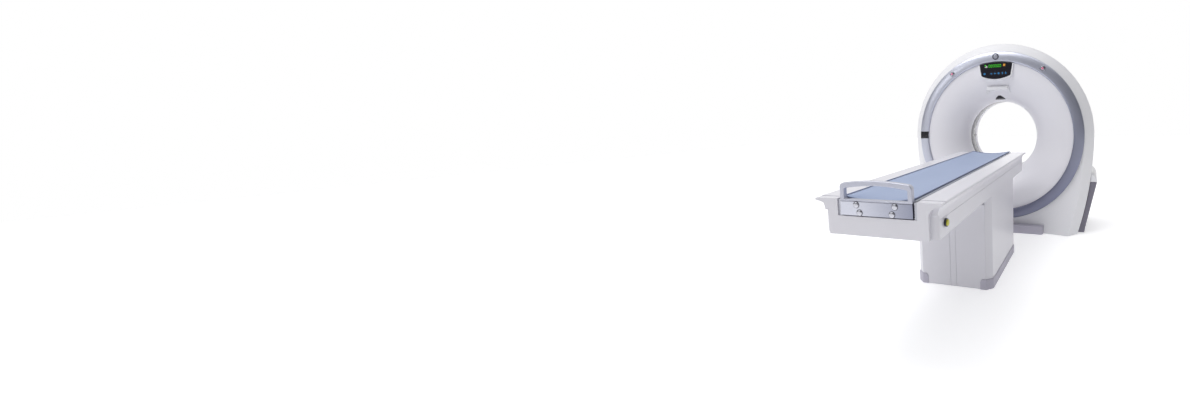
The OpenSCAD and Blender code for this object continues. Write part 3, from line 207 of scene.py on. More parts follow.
# Turned brass of the slip ring, kept bright by its brushes
slip_brass = finish_of("turned brass", "#c9a45c", "#b8924a", 0.25, 1.0, cloud=60, grain=0.8, lift=0.01)
# Belt and tyre rubber: black, dull and a little dusty
black_rubber = finish_of("belt rubber", "#26262a", "#1f1f22", 0.75, cloud=40, grain=0.8, lift=0.05)
# Sage glass of the display's window, seen over the unlit segments
glass_green = finish_of("display glass", "#1d2b22", "#18241d", 0.14, cloud=60, grain=5, lift=0.002, Coat_Weight=0.5)
# Grey print round the keys
key_rim = finish_of("printed key rim", "#4d4f59", "#454750", 0.45, cloud=20, grain=1, lift=0.002)
# Dark nickel of the badge's rim
dark_chrome = finish_of("dark nickel", "#55565f", "#484952", 0.28, 0.8, cloud=30, grain=0.6, lift=0.003)
# Satin face of the bare badge: blasted, so it stays even and dull
badge_grey = finish_of("blasted nickel", "#a3a5b1", "#9597a3", 0.45, 0.7, cloud=30, grain=0.5, lift=0.01)
# Painted shadow in the gaps between two mouldings, drawn as dark strips; the seats round the end plate's caps share
# this colour
seam_shadow = finish_of("painted gap shadow", "#5f5e68", "#55545e", 0.8, cloud=60, grain=1, lift=0.01)
# Light blue polyurethane-coated fabric of the pad: a fine leather grain that scatters the light
mat_vinyl = finish_of("coated pad fabric", "#9aa9c9", "#90a0c1", 0.5, cloud=260, cloud_mix=0.7, grain=1.6, lift=0.05,
                      Sheen_Weight=0.15)
# The same fabric rolled round a cord at the pad's edge, darker because it turns from the light
mat_welt = finish_of("pad welt", "#8592b5", "#7b88ab", 0.5, cloud=120, grain=1.6, lift=0.05, Sheen_Weight=0.15)


# Outlines, skins and solids

FRONT, BACK = Vector((0, -1, 0)), Vector((0, 1, 0))


def spaced(start, end, count):
    """Values from start to end in count equal steps, both ends included."""
    return [start + (end - start) * i / count for i in range(count + 1)]


def full_turn(steps):
    """The angles of a full turn in equal steps, each given once."""
    return [2 * math.pi * i / steps for i in range(steps)]


def rounded(corners, steps=6):
    """An outline whose corners, given as (x, z, radius), are rounded with arcs."""
    outline = []
    for i, (x, z, radius) in enumerate(corners):
        if radius <= 0:
            outline.append((x, z))
            continue
        here = Vector((x, z))
        to_last = (Vector(corners[i - 1][:2]) - here).normalized()
        to_next = (Vector(corners[(i + 1) % len(corners)][:2]) - here).normalized()
        half = to_last.angle(to_next) / 2
        middle = here + (to_last + to_next).normalized() * (radius / math.sin(half))
        start, end = here + to_last * (radius / math.tan(half)), here + to_next * (radius / math.tan(half))
        a0 = math.atan2(start.y - middle.y, start.x - middle.x)
        turn = (math.atan2(end.y - middle.y, end.x - middle.x) - a0 + math.pi) % (2 * math.pi) - math.pi
        for k in range(steps + 1):
            a = a0 + turn * k / steps
            outline.append((middle.x + radius * math.cos(a), middle.y + radius * math.sin(a)))
    return outline


def box_outline(x, z, wide, tall, corner=0.001, steps=3):
    """A rectangle round a middle point, with rounded corners."""
    return rounded([(x - wide / 2, z - tall / 2, corner), (x + wide / 2, z - tall / 2, corner),
                    (x + wide / 2, z + tall / 2, corner), (x - wide / 2, z + tall / 2, corner)], steps)


def ring_outline(x, z, r):
    """A circle round a middle point."""
    return [(x + r * math.cos(a), z + r * math.sin(a)) for a in full_turn(20)]


def eased(points, reach, steps=4):
    """A run of points in space whose marked corners {index: reach} are rounded with short curves."""
    run = []
    for i, point in enumerate(points):
        if i not in reach:
            run.append(point)
            continue
        a = point + (points[i - 1] - point).normalized() * reach[i]
        b = point + (points[i + 1] - point).normalized() * reach[i]
        for k in range(steps + 1):
            t = k / steps
            run.append(a * (1 - t) ** 2 + point * 2 * t * (1 - t) + b * t * t)
    return run


def mesh_object(name, points, faces, material, sharp=40):
    """A closed or open skin as an object at the origin, with its faces turned outwards."""
    mesh = bpy.data.meshes.new(name)
    mesh.from_pydata([tuple(p) for p in points], [], faces)
    work = bmesh.new()
    work.from_mesh(mesh)
    bmesh.ops.remove_doubles(work, verts=work.verts, dist=1e-6)
    bmesh.ops.dissolve_degenerate(work, edges=work.edges, dist=1e-6)
    bmesh.ops.recalc_face_normals(work, faces=work.faces)
    work.to_mesh(mesh)
    work.free()
    mesh.polygons.foreach_set("use_smooth", [True] * len(mesh.polygons))
    mesh.set_sharp_from_angle(angle=math.radians(sharp))
    mesh.materials.append(material)
    made = bpy.data.objects.new(name, mesh)
    bpy.context.scene.collection.objects.link(made)
    return made


def prism(name, outlines, front, back, material):
    """Outlines in X and Z, extruded from one y to another."""
    points, faces = [], []
    for outline in outlines:
        first, count = len(points), len(outline)
        points += [(x, front, z) for x, z in outline] + [(x, back, z) for x, z in outline]
        faces.append(tuple(range(first, first + count)))
        faces.append(tuple(reversed(range(first + count, first + 2 * count))))
        for i in range(count):
            j = (i + 1) % count
            faces.append((first + j, first + i, first + count + i, first + count + j))
    return mesh_object(name, points, faces, material)


def skin(rows, closed=False):
    """Points and faces of a surface through rows of points."""
    wide = len(rows[0])
    points = [p for row in rows for p in row]
    faces = []
    for i in range(len(rows) - 1 + closed):
        j = (i + 1) % len(rows)
        faces += [(i * wide + k, i * wide + k + 1, j * wide + k + 1, j * wide + k) for k in range(wide - 1)]
    return points, faces


def surface(name, rows, material, sharp=40, closed=False):
    """The skin through rows of points, as an object."""
    return mesh_object(name, *skin(rows, closed), material, sharp)


def around_bore(theta, r, y):
    """The point at an angle from the top, a distance from the bore's axis and a depth."""
    return Vector((r * math.sin(theta), y, ISO + r * math.cos(theta)))


def turned(name, profile, material, sharp=40):
    """A closed profile of (radius, y) turned round the bore's axis."""
    loop = list(profile) + [profile[0]]
    return surface(name, [[around_bore(a, r, y) for r, y in loop] for a in full_turn(288)], material, sharp, True)


def knob(name, place, profile, material, steps):
    """A profile of (radius, depth), in mm, turned round an axis along Y through a place."""
    x, y, z = place
    rows = [[Vector((x + r * MM * math.sin(a), y + depth * MM, z + r * MM * math.cos(a))) for r, depth in profile]
            for a in full_turn(steps)]
    return surface(name, rows, material, closed=True)


def orient(part, towards=None):
    """Turns a skin's faces so that they look away from the bore's axis, or along a direction."""
    work = bmesh.new()
    work.from_mesh(part.data)
    total = 0.0
    for face in work.faces:
        out = towards or Vector((face.calc_center_median().x, 0, face.calc_center_median().z - ISO))
        total += face.normal.dot(out) * face.calc_area()
    if total < 0:
        bmesh.ops.reverse_faces(work, faces=work.faces)
    work.to_mesh(part.data)
    work.free()


def soften(part, width, segments=3, angle=35):
    """Rounds a piece's edges as its mould or its press does, by width mm."""
    edge = part.modifiers.new("rounded edges", "BEVEL")
    edge.width, edge.segments = width * MM, segments
    edge.limit_method, edge.angle_limit = "ANGLE", math.radians(angle)
    edge.harden_normals = True
    return part


def thicken(part, wall):
    """Gives a skin its wall, inwards, by wall mm."""
    solid = part.modifiers.new("wall", "SOLIDIFY")
    solid.thickness, solid.offset, solid.use_even_offset = wall * MM, -1, True
    return part


def baked(part):
    """The piece with its modifiers applied, as a plain mesh."""
    bpy.context.view_layer.update()
    mesh = bpy.data.meshes.new_from_object(part.evaluated_get(bpy.context.evaluated_depsgraph_get()))
    part.modifiers.clear()
    part.data = mesh
    return part


def cut(part, sharp, *tools):
    """Takes the tools' shapes out of a piece, and marks its edges over an angle as sharp."""
    for tool in tools:
        step = part.modifiers.new("cut", "BOOLEAN")
        step.operation, step.solver, step.object = "DIFFERENCE", "EXACT", tool
    baked(part)
    for tool in tools:
        bpy.data.objects.remove(tool)
    part.data.set_sharp_from_angle(angle=math.radians(sharp))


def settle(part, body, slot, *stands_for):
    """Puts a finished piece on its body, and hides the plain solids it stands for. Its slot, the name of its finish,
    is not used.
    """
    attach(part, body)
    if stands_for:
        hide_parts(*stands_for)


# Geometry nodes: repeats and welts

def recipe(name, **sockets):
    """A node group that takes a geometry and some values, with its input node and the keys of its values."""
    tree = bpy.data.node_groups.new(name, "GeometryNodeTree")
    face = tree.interface
    face.new_socket("Geometry", in_out="INPUT", socket_type="NodeSocketGeometry")
    keys = {key: face.new_socket(key, in_out="INPUT", socket_type=kind).identifier for key, kind in sockets.items()}
    face.new_socket("Geometry", in_out="OUTPUT", socket_type="NodeSocketGeometry")
    return tree, add(tree, "NodeGroupInput"), keys


def made_by(part, tree, shape, material, values):
    """Ends a node group in one finish and gives the piece what it makes, as a plain mesh."""
    real = add(tree, "GeometryNodeRealizeInstances", {0: shape.outputs[0]})
    dressed = add(tree, "GeometryNodeSetMaterial", {0: real.outputs[0], "Material": material})
    add(tree, "NodeGroupOutput", {0: dressed.outputs[0]})
    maker = part.modifiers.new("maker", "NODES")
    maker.node_group = tree
    for key, value in values.items():
        maker[key] = value
    return baked(part)


def repeated(part, material, count, step):
    """The piece repeated count times, each one a step on from the last."""
    tree, given, keys = recipe(part.name + " repeat", Count="NodeSocketInt", Step="NodeSocketVector")
    line = add(tree, "GeometryNodeMeshLine", {"Count": given.outputs["Count"], "Offset": given.outputs["Step"]})
    spread = add(tree, "GeometryNodeInstanceOnPoints", {
        "Points": line.outputs["Mesh"], "Instance": given.outputs["Geometry"]})
    return made_by(part, tree, spread, material, {keys["Count"]: count, keys["Step"]: step})


def strip_along(name, path, width, material):
    """A round welt or seam of the given width in mm along a closed path."""
    tree, given, keys = recipe(name + " welt", Radius="NodeSocketFloat")
    line = add(tree, "GeometryNodeMeshToCurve", {0: given.outputs["Geometry"]})
    ring = add(tree, "GeometryNodeCurvePrimitiveCircle", {
        "Resolution": 10, "Radius": given.outputs["Radius"]}, mode="RADIUS")
    tube = add(tree, "GeometryNodeCurveToMesh", {
        "Curve": line.outputs[0], "Profile Curve": ring.outputs[0], "Fill Caps": True})
    round_off = add(tree, "GeometryNodeSetShadeSmooth", {0: tube.outputs[0]})
    mesh = bpy.data.meshes.new(name)
    mesh.from_pydata([tuple(p) for p in path], [(i, (i + 1) % len(path)) for i in range(len(path))], [])
    made = bpy.data.objects.new(name, mesh)
    bpy.context.scene.collection.objects.link(made)
    return made_by(made, tree, round_off, material, {keys["Radius"]: width * MM / 2})


# Gantry: the housing's form

def flare(h, top, foot):
    """Half width at a height: it swells from the foot to the level of the bore."""
    return top - (top - foot) * ((ISO - h) / ISO) ** 2


def apron_y(r):
    """Depth of the front face at a distance from the bore's axis: the apron sweeps forward to the floor."""
    if r <= APRON_R:
        return FACE_Y
    return FACE_Y + (APRON_FOOT_Y - FACE_Y) * ((r - APRON_R) / (APRON_END_R - APRON_R)) ** 1.5


def edge_distance(theta, top, foot):
    """How far a ray from the bore's axis runs inside a face outline, at an angle from the top."""
    s, c = math.sin(theta), math.cos(theta)
    if c >= 0:
        return top
    low, high = 0.5, 1.4
    for _ in range(40):
        middle = (low + high) / 2
        z = ISO + middle * c
        if z > COVER_LIFT and abs(middle * s) < flare(z, top, foot):
            low = middle
        else:
            high = middle
    return low


def corner_angle(foot):
    """Angle from the top at which a cover of this half width meets the floor."""
    return math.pi - math.atan2(foot, ISO - COVER_LIFT)


def wrapped(column, corner):
    """Points and faces of a cover: its columns round the arch, then those between its two feet."""
    points, faces = skin([column(a) for a in spaced(-corner, corner, 240)])
    foot_points, foot_faces = skin([column(a, floor_side=True) for a in spaced(corner, 2 * math.pi - corner, 60)])
    faces += [tuple(len(points) + i for i in face) for face in foot_faces]
    return points + foot_points, faces


def front_column(theta, floor_side=False):
    """Points of the front cover on one ray: face, rounded edge, bevel, rounded edge and side wall."""
    reach = edge_distance(theta, BEVEL_R, APRON_FOOT_W)
    rim = reach - 0.016
    face = [around_bore(theta, r, apron_y(r)) for r in spaced(RING_SEAT_R, rim, 16)]
    edge = around_bore(theta, reach, apron_y(reach))
    if floor_side:
        return face + [edge]
    if math.cos(theta) >= 0:
        side, drop = around_bore(theta, HOUSE_R, 0), 0.0
    else:
        side = Vector((math.copysign(flare(edge.z, HOUSE_R, HOUSE_FOOT_W), theta), 0, edge.z))
        drop = ((ISO - edge.z) / ISO) ** 2
    back = Vector((side.x, BEVEL_BACK_Y - 0.010 - (BEVEL_BACK_Y - 0.010 - BEVEL_FLOOR_Y) * drop, side.z))
    end = Vector((side.x, BEVEL_BACK_Y - 0.0005, side.z))
    run = face + [edge, edge.lerp(back, 0.3), edge.lerp(back, 0.7), back, end]
    first = len(face)
    return eased(run, {first: 0.010, first + 3: 0.008}, 5)


def build_front_cover():
    """The front cover: a bevelled shell from the ring's seat to the floor, with a notch for the plinth."""
    points, faces = wrapped(front_column, corner_angle(APRON_FOOT_W))
    cover = mesh_object("front_cover_moulding", points, faces, white_cover, 30)
    orient(cover, FRONT)
    thicken(cover, MOULDED_WALL)
    wide, high = PLINTH_W + 0.001, PLINTH_H + 0.001
    notch = [(-wide, -0.05), (wide, -0.05), (wide, high), (-wide, high)]
    cut(cover, 30, prism("notch", [notch], PLINTH_Y - 0.02, -0.2, white_cover))
    settle(cover, "base", "white_cover", "front_cover")


def wall_point(theta, y):
    """A point of the housing's outer wall, at an angle from the top."""
    if math.cos(theta) >= 0:
        return around_bore(theta, HOUSE_R, y)
    return around_bore(theta, edge_distance(theta, HOUSE_R, HOUSE_FOOT_W), y)


def build_wall(name, start, end, count, node):
    """Part of the wrap-round wall between the front cover and the rear cover."""
    depths = [BEVEL_BACK_Y + 0.0005, BEVEL_BACK_Y + 0.003, -0.1, 0.1, SIDE_BACK_Y - 0.003, SIDE_BACK_Y - 0.0005]
    rows = [[wall_point(theta, y) for y in depths] for theta in spaced(start, end, count)]
    wall = surface(name, rows, white_cover, 30)
    orient(wall)
    thicken(wall, COVER_WALL / MM)
    settle(wall, "base", "white_cover", node)


def rear_column(theta, floor_side=False):
    """Points of the rear cover on one ray, from the wall over the bevel to its mouth."""
    top, foot = HOUSE_R - REAR_BEVEL, HOUSE_FOOT_W - REAR_BEVEL / 2
    reach = edge_distance(theta, top, foot)
    face = [around_bore(theta, r, REAR_Y) for r in spaced(reach - 0.016, REAR_MOUTH_R, 8)]
    edge = around_bore(theta, reach, REAR_Y)
    if floor_side:
        return [edge] + face
    if math.cos(theta) >= 0:
        side = around_bore(theta, HOUSE_R, SIDE_BACK_Y + 0.010)
    else:
        side = Vector((math.copysign(flare(edge.z, HOUSE_R, HOUSE_FOOT_W), theta), SIDE_BACK_Y + 0.010, edge.z))
    start = Vector((side.x, SIDE_BACK_Y + 0.0005, side.z))
    run = [start, side, side.lerp(edge, 0.5), edge] + face
    return eased(run, {1: 0.008, 3: 0.010}, 5)


def build_rear_cover():
    """The rear cover: a bevelled shell round the rear mouth, with a field of vent slots low on each side."""
    points, faces = wrapped(rear_column, corner_angle(HOUSE_FOOT_W - REAR_BEVEL / 2))
    cover = mesh_object("rear_cover_moulding", points, faces, white_cover, 30)
    orient(cover, BACK)
    thicken(cover, MOULDED_WALL)
    vents = []
    for side in (-1, 1):
        slot = box_outline(side * (HOUSE_FOOT_W - VENT_INSET), VENT_LOW + VENT_H / 2, VENT_W, VENT_H, 0.005, 4)
        slat = prism("vent slot", [slot], REAR_Y - 0.03, REAR_Y + 0.02, white_cover)
        vents.append(repeated(slat, white_cover, VENTS, (0, 0, VENT_PITCH)))
    cut(cover, 30, *vents)
    settle(cover, "base", "white_cover", "rear_cover")


def bowl_profile(face_y, r0, r1, lip_y):
    """Profile of the bowl: a quarter of an ellipse from its lip at the bore out to its face."""
    return [(r0 - (r0 - r1) * math.sin(a), lip_y + (face_y - lip_y) * math.cos(a))
            for a in spaced(0, math.pi / 2, 40)]


def build_funnel():
    """The funnel: a turned bowl of one wall thickness, with a flange behind the trim ring."""
    flange, back_y, back_r = RING_INNER_R + 0.046, FACE_Y + FUNNEL_WALL, LIP_R - FUNNEL_WALL
    front = bowl_profile(BOWL_Y, LIP_R, BORE_R, LIP_Y)
    back = bowl_profile(BOWL_Y + FUNNEL_WALL, back_r, BORE_R + FUNNEL_WALL, LIP_Y)
    profile = front + back[::-1] + [(back_r, back_y), (flange, back_y), (flange, FACE_Y), (LIP_R, FACE_Y)]
    settle(turned("bore_funnel", profile, funnel_white), "base", "funnel_white", "front_funnel")


def crown_depth(r):
    """Depth of the trim ring's face at a distance from the bore's axis: it leans inwards and swells a little."""
    s = (r - RING_MID_R) / ((RING_OUTER_R - RING_INNER_R) / 2)
    lean = 0.026 * (1 + s) / 2 + 0.036 * (1 - s) / 2
    drop = 0.007 * max(0.0, (abs(s) - 0.86) / 0.14) ** 2
    return FACE_Y - lean - 0.006 * (1 - s * s) + drop


def build_ring():
    """The trim ring: a crowned band with softly rounded edges."""
    crown = [(r, crown_depth(r)) for r in spaced(RING_OUTER_R, RING_INNER_R, 24)]
    profile = [(RING_INNER_R, FACE_Y), (RING_OUTER_R, FACE_Y)] + crown
    settle(turned("ring_band", profile, ring_paint, 50), "base", "ring_paint", "accent_ring")


def build_side_plate():
    """The bare plate at the ring's left: it follows the ring's crown and stands 2.5 mm proud."""
    radii = spaced(RING_OUTER_R - 0.001, RING_INNER_R + 0.001, 16)
    rows = [[Vector((-math.sqrt(r * r - (z - ISO) ** 2), crown_depth(r) - 0.0025, z)) for r in radii]
            for z in spaced(SIDE_PLATE_LOW, SIDE_PLATE_LOW + SIDE_PLATE_H, 8)]
    plate = surface("side_plate_face", rows, black_plastic, 50)
    orient(plate, FRONT)
    thicken(plate, 2.3)
    settle(soften(plate, 0.6, 2, 60), "base", "black_plastic", "side_plate")


# Control panel, display and keys

def panel_outline(rim, corner):
    """The panel's outline: it follows the ring at the top and sags at the bottom."""
    low_w, top_w, sag = 0.142, 0.162, 0.032
    sag_r = (low_w ** 2 + sag ** 2) / (2 * sag) + rim
    middle = PANEL_LOW + sag_r - rim
    top_r = LIP_R - 0.002
    foot_z = middle - math.sqrt(sag_r ** 2 - (low_w + rim) ** 2)
    foot_w = low_w + rim
    span = math.asin((foot_w - 0.020) / sag_r)
    bottom = [(sag_r * math.sin(a), middle - sag_r * math.cos(a), 0) for a in spaced(-span, span, 20)]
    shoulder = top_w + rim - 0.002
    high = math.asin((shoulder - 0.006) / top_r)
    top = [(top_r * math.sin(a), ISO + top_r * math.cos(a), 0) for a in spaced(high, -high, 24)]
    top_z = ISO + math.sqrt(top_r ** 2 - shoulder ** 2)
    corners = bottom + [(foot_w, foot_z, corner), (shoulder, top_z, 0.004)] + top
    return rounded(corners + [(-shoulder, top_z, 0.004), (-foot_w, foot_z, corner)])


def build_panel():
    """The white pod, and the gloss black face that sits in it."""
    pod = prism("panel_surround", [panel_outline(0.012, 0.026)], PANEL_Y + 0.004, FACE_Y + 0.04, white_cover)
    settle(soften(pod, 5, 4, 60), "base", "white_cover", "panel_pod")
    face = prism("panel_glass", [panel_outline(-0.0003, 0.018)], PANEL_Y, PANEL_Y + 0.014, black_plastic)
    settle(soften(face, 2.5, 3, 60), "base", "black_plastic", "panel_face")


def segment_digit(wide, tall, bar):
    """Outlines of one lit figure: the six outer bars of seven, with mitred ends."""
    slim, gap = bar / 2, bar * 0.22
    outlines = []
    for low in (0, tall):
        outlines.append([(gap, low), (gap + slim, low - slim), (wide - gap - slim, low - slim), (wide - gap, low),
                         (wide - gap - slim, low + slim), (gap + slim, low + slim)])
    for left in (0, wide):
        for low in (0, tall / 2):
            a, b = low + gap, low + tall / 2 - gap
            outlines.append([(left, a), (left + slim, a + slim), (left + slim, b - slim), (left, b),
                             (left - slim, b - slim), (left - slim, a + slim)])
    return outlines


def build_display():
    """The readout: six lit figures that lean a little, behind a flush window."""
    left, low, wide, high = -0.072, PANEL_LOW + 0.107, 0.128, 0.032
    window = prism("display_window", [box_outline(left + wide / 2, low + high / 2, wide, high, 0.003)],
                   PANEL_Y - 0.0004, PANEL_Y + 0.001, glass_green)
    settle(window, "base", "display_green", "panel_display")
    figure_w, figure_h, bar, pitch = 0.0130, 0.0225, 0.0040, 0.0208
    first = prism("digit", segment_digit(figure_w, figure_h, bar), PANEL_Y - 0.0012, PANEL_Y + 0.0002, display_green)
    slant = Matrix.Identity(4)
    slant[0][2] = 0.08
    first.data.transform(slant)
    digits = repeated(first, display_green, 6, (pitch, 0, 0))
    digits.data.transform(Matrix.Translation((left + 0.0050, 0, low + 0.0048)))
    digits.name = "display_digits"
    settle(digits, "base", "display_green")


def arrow(x, z, turn):
    """Outline of an arrow that points along +X, turned."""
    c, s = math.cos(turn), math.sin(turn)
    shape = [(-0.010, 0.0035), (-0.010, -0.0035), (0.000, -0.0035), (0.000, -0.009), (0.011, 0), (0.000, 0.009),
             (0.000, 0.0035)]
    return [(x + a * c - b * s, z + a * s + b * c) for a, b in shape]


def build_keys():
    """Lit prints: a bed mark and a lamp beside the display, and arrows and dots in the row of keys."""
    top, under = PANEL_Y - 0.001, PANEL_Y + 0.0002
    row, high = PANEL_LOW + 0.052, PANEL_LOW + 0.123
    rim_x, rim_pitch, rim_count = -0.043, 0.0353, 5
    marks = [box_outline(-0.110, row, 0.019, 0.017, 0.003), arrow(rim_x, row, 0), arrow(-0.007, row, math.pi),
             ring_outline(0.028, row, 0.0095), arrow(0.065, row, math.pi / 2), arrow(0.098, row, -math.pi / 2)]
    settle(prism("key_marks", marks, top, under, key_blue), "base", "key_blue", "panel_keys")
    rim = [(13.5, 0.5), (13.5, -0.9), (14.5, -0.9), (14.5, 0.5), (13.5, 0.5)]
    first = knob("key_rims", (rim_x, PANEL_Y, row), rim, key_rim, 32)
    settle(repeated(first, key_rim, rim_count, (rim_pitch, 0, 0)), "base", "black_plastic")
    bed = [box_outline(-0.093, high - 0.010, 0.026, 0.006), box_outline(-0.087, high - 0.001, 0.012, 0.009)]
    settle(prism("bed_mark", bed, top, under, key_white), "base", "key_blue")
    settle(prism("ready_mark", [box_outline(-0.100, high + 0.007, 0.010, 0.013)], top, under, display_green),
           "base", "display_green")
    settle(prism("warning_lamp", [box_outline(0.0835, high + 0.003, 0.021, 0.021, 0.002)], top, under, key_orange),
           "base", "key_blue")


# Brow over the laser window

def bowl_depth(r):
    """Depth of the funnel's face at a distance from the bore's axis."""
    return LIP_Y + (BOWL_Y - LIP_Y) * math.sqrt(max(0.0, 1 - ((LIP_R - r) / (LIP_R - BORE_R)) ** 2))


def bulge(t):
    """Rises from 0 to 1 as a quarter of a sine does."""
    return math.sin(min(1.0, max(0.0, t)) * math.pi / 2)


def smooth(t):
    """Eases from 0 to 1."""
    t = min(1.0, max(0.0, t))
    return t * t * (3 - 2 * t)


def brow_depth(x, rise, share, edge):
    """Depth of the visor's face: a ledge, then a recess between two legs that fade into the funnel."""
    base = bowl_depth(math.hypot(x, rise)) + 0.0015
    front = bowl_depth(BROW_TOP_R) - BROW_PROUD
    foot = bowl_depth(math.hypot(edge, BROW_TOP_R - BROW_DEPTH)) + 0.001
    ledge = BROW_LEDGE / BROW_DEPTH
    face = front + (foot - front) * max(0.0, (share - ledge) / (1 - ledge)) ** 0.9
    side = bulge((edge - abs(x)) / BROW_SOFT)
    brim = bulge((BROW_TOP_R + 0.002 - rise) / BROW_SOFT)
    recess = smooth(min((share - ledge) / 0.10, (edge - BROW_LEG - abs(x)) / 0.010))
    return base + (min(face, base) - base) * side * brim * (1 - recess)


def build_brow():
    """A soft visor over the laser window: a lit ledge with a leg at each end that fades down into the funnel."""
    rows, margin = [], 0.004
    for u in spaced(-1, 1, 120):
        row = []
        for rise in spaced(BROW_TOP_R + margin, BROW_TOP_R - BROW_DEPTH, 60):
            share = min(1.0, max(0.0, (BROW_TOP_R - rise) / BROW_DEPTH))
            edge = BROW_W + BROW_SPLAY * share ** 1.5
            x = u * (edge + margin)
            row.append(Vector((x, brow_depth(x, rise, share, edge), ISO + rise)))
        rows.append(row)
    brow = surface("brow_visor", rows, white_cover, 50)
    orient(brow, FRONT)
    settle(brow, "base", "white_cover", "laser_brow")


# Fittings on the ring, and the seams beside it

def build_badge():
    """A bare round badge: a dark domed disc in a raised rim."""
    place = (0, RING_CROWN_Y, ISO + RING_MID_R)
    rim = [(0, 4), (31, 4), (31, -4), (29.5, -6.2), (26.5, -6.8), (24.5, -5.5), (23.5, -3), (0, -3)]
    dome = [(0, -2.5), (22.8, -2.5), (20.5, -4.2), (14, -5.6), (0, -6.2)]
    settle(knob("badge_rim", place, rim, dark_chrome, 64), "base", "bright_metal", "ring_badge")
    settle(knob("badge_disc", place, dome, badge_grey, 64), "base", "bright_metal")


def build_stops():
    """Two stop buttons: a turned bezel with a shroud, and a domed cap that can be pressed in."""
    bezel = [(17.5, 6), (26, 6), (26, -4), (24.8, -7.5), (22.5, -9.5), (19.5, -9.5), (17.8, -7.5), (17.5, 6)]
    cap = [(0, -5.6), (17, -5.6), (17, -13.5), (15.5, -16), (11.5, -16.8), (10.5, -15.8), (0, -15.8)]
    dome = [(0, -15), (10, -15), (9.6, -16.6), (6, -17.3), (0, -17.5)]
    for side, body, collar in ((-1, "stop_button_left", "bezel_left"), (1, "stop_button_right", "bezel_right")):
        place = around_bore(side * STOP_ANGLE, RING_MID_R, RING_CROWN_Y)
        settle(knob(collar, place, bezel, bright_metal, 64), "base", "bright_metal", "stop_bezels")
        settle(knob(body + "_cap", place, cap, bright_metal, 64), body, "bright_metal", body)
        settle(knob(body + "_dome", place, dome, stop_red, 48), body, "stop_red")


def build_seams():
    """Thin dark strips of painted shadow between the mouldings: round the bowl's face, and at its lip in the bore."""
    for name, r, y, width in (("bowl_gap", LIP_R + 0.0002, BOWL_Y + 0.0015, 3.2),
                              ("window_gap", BORE_R + 0.0010, LIP_Y + 0.0005, 2.2)):
        path = [around_bore(a, r, y) for a in full_turn(240)]
        settle(strip_along(name, path, width, seam_shadow), "base", "black_rubber")


# Table: side covers, end covers, cradle and handle

def wing_outline(half, low):
    """Right half of the table's section: flat top, rounded wing tip, hollow underside and upright side."""
    tip_r, drop = 0.009, WING_H - WING_T - WING_DROP
    tip = [(WING_W - tip_r + tip_r * math.sin(a), WING_H - tip_r + tip_r * math.cos(a))
           for a in spaced(0, math.pi * 0.72, 12)]
    foot = tip[-1]
    under = [(foot[0] - (foot[0] - half) * math.sin(a), drop + (foot[1] - drop) * math.cos(a))
             for a in spaced(0, math.pi / 2, 12)[1:]]
    return [(CHANNEL_W, WING_H)] + tip + under + [(half, low)]


def mirrored(outline):
    """The same outline on the table's left."""
    return [(-x, z) for x, z in reversed(outline)]


def build_beam():
    """The two long side covers, each with its wing and a fine seam cut along its side."""
    front, back = TABLE_FOOT_Y + FOOT_T, TABLE_HEAD_Y - HEAD_T
    plate, skirt = WING_H - 0.016, 0.006
    right = wing_outline(BEAM_W, BEAM_LOW) + [
        (BEAM_W - skirt, BEAM_LOW), (BEAM_W - skirt, plate), (CHANNEL_W, plate)]
    seam_low, seam_w, seam_deep = WING_H - WING_T - WING_DROP - 0.022, 0.0024, 0.0018
    for name, outline, wall in (("beam_right", right, BEAM_W), ("beam_left", mirrored(right), -BEAM_W)):
        beam = prism(name, [outline], front, back, table_white)
        groove = [(wall - seam_deep, seam_low), (wall + seam_deep, seam_low),
                  (wall + seam_deep, seam_low + seam_w), (wall - seam_deep, seam_low + seam_w)]
        cut(beam, 40, prism("seam cut", [groove], front - 0.01, back + 0.01, seam_shadow))
        settle(soften(beam, 1.2, 2, 50), "tabletop", "table_white", "beam_covers")


def arch_outline(half, top, low, corner):
    """Outline of the handle's arch, from one foot over its crown to the other."""
    rise = 0.014
    arch = (half ** 2 + rise ** 2) / (2 * rise)
    inner = half - corner
    centre = top - arch + math.sqrt((arch - corner) ** 2 - inner ** 2)
    touch = math.atan2(inner, centre - top + arch)
    shoulder = [(inner + corner * math.cos(a), centre + corner * math.sin(a))
                for a in spaced(0, math.pi / 2 - touch, 10)]
    crown = [(arch * math.sin(a), top - arch + arch * math.cos(a)) for a in spaced(touch, -touch, 24)[1:-1]]
    return [(half, low)] + shoulder + crown + mirrored(shoulder) + [(-half, low)]


def build_handle():
    """The arched handle over the end plate: a cast bar with a bevel along its outer edges."""
    outer = arch_outline(PLATE_W, HANDLE_TOP, PLATE_TOP, HANDLE_BAR)
    inner = arch_outline(PLATE_W - HANDLE_BAR, HANDLE_TOP - HANDLE_BAR, PLATE_TOP + 0.010, 0.006)
    front, back = TABLE_FOOT_Y, TABLE_FOOT_Y + PLATE_DEPTH
    bar = prism("handle_bar", [outer], front, back, handle_paint)
    cut(bar, 35, prism("handle opening", [inner], front - 0.02, back + 0.02, handle_paint))
    settle(soften(bar, 4.5, 3, 50), "cradle", "frame_aluminium", "end_handle")


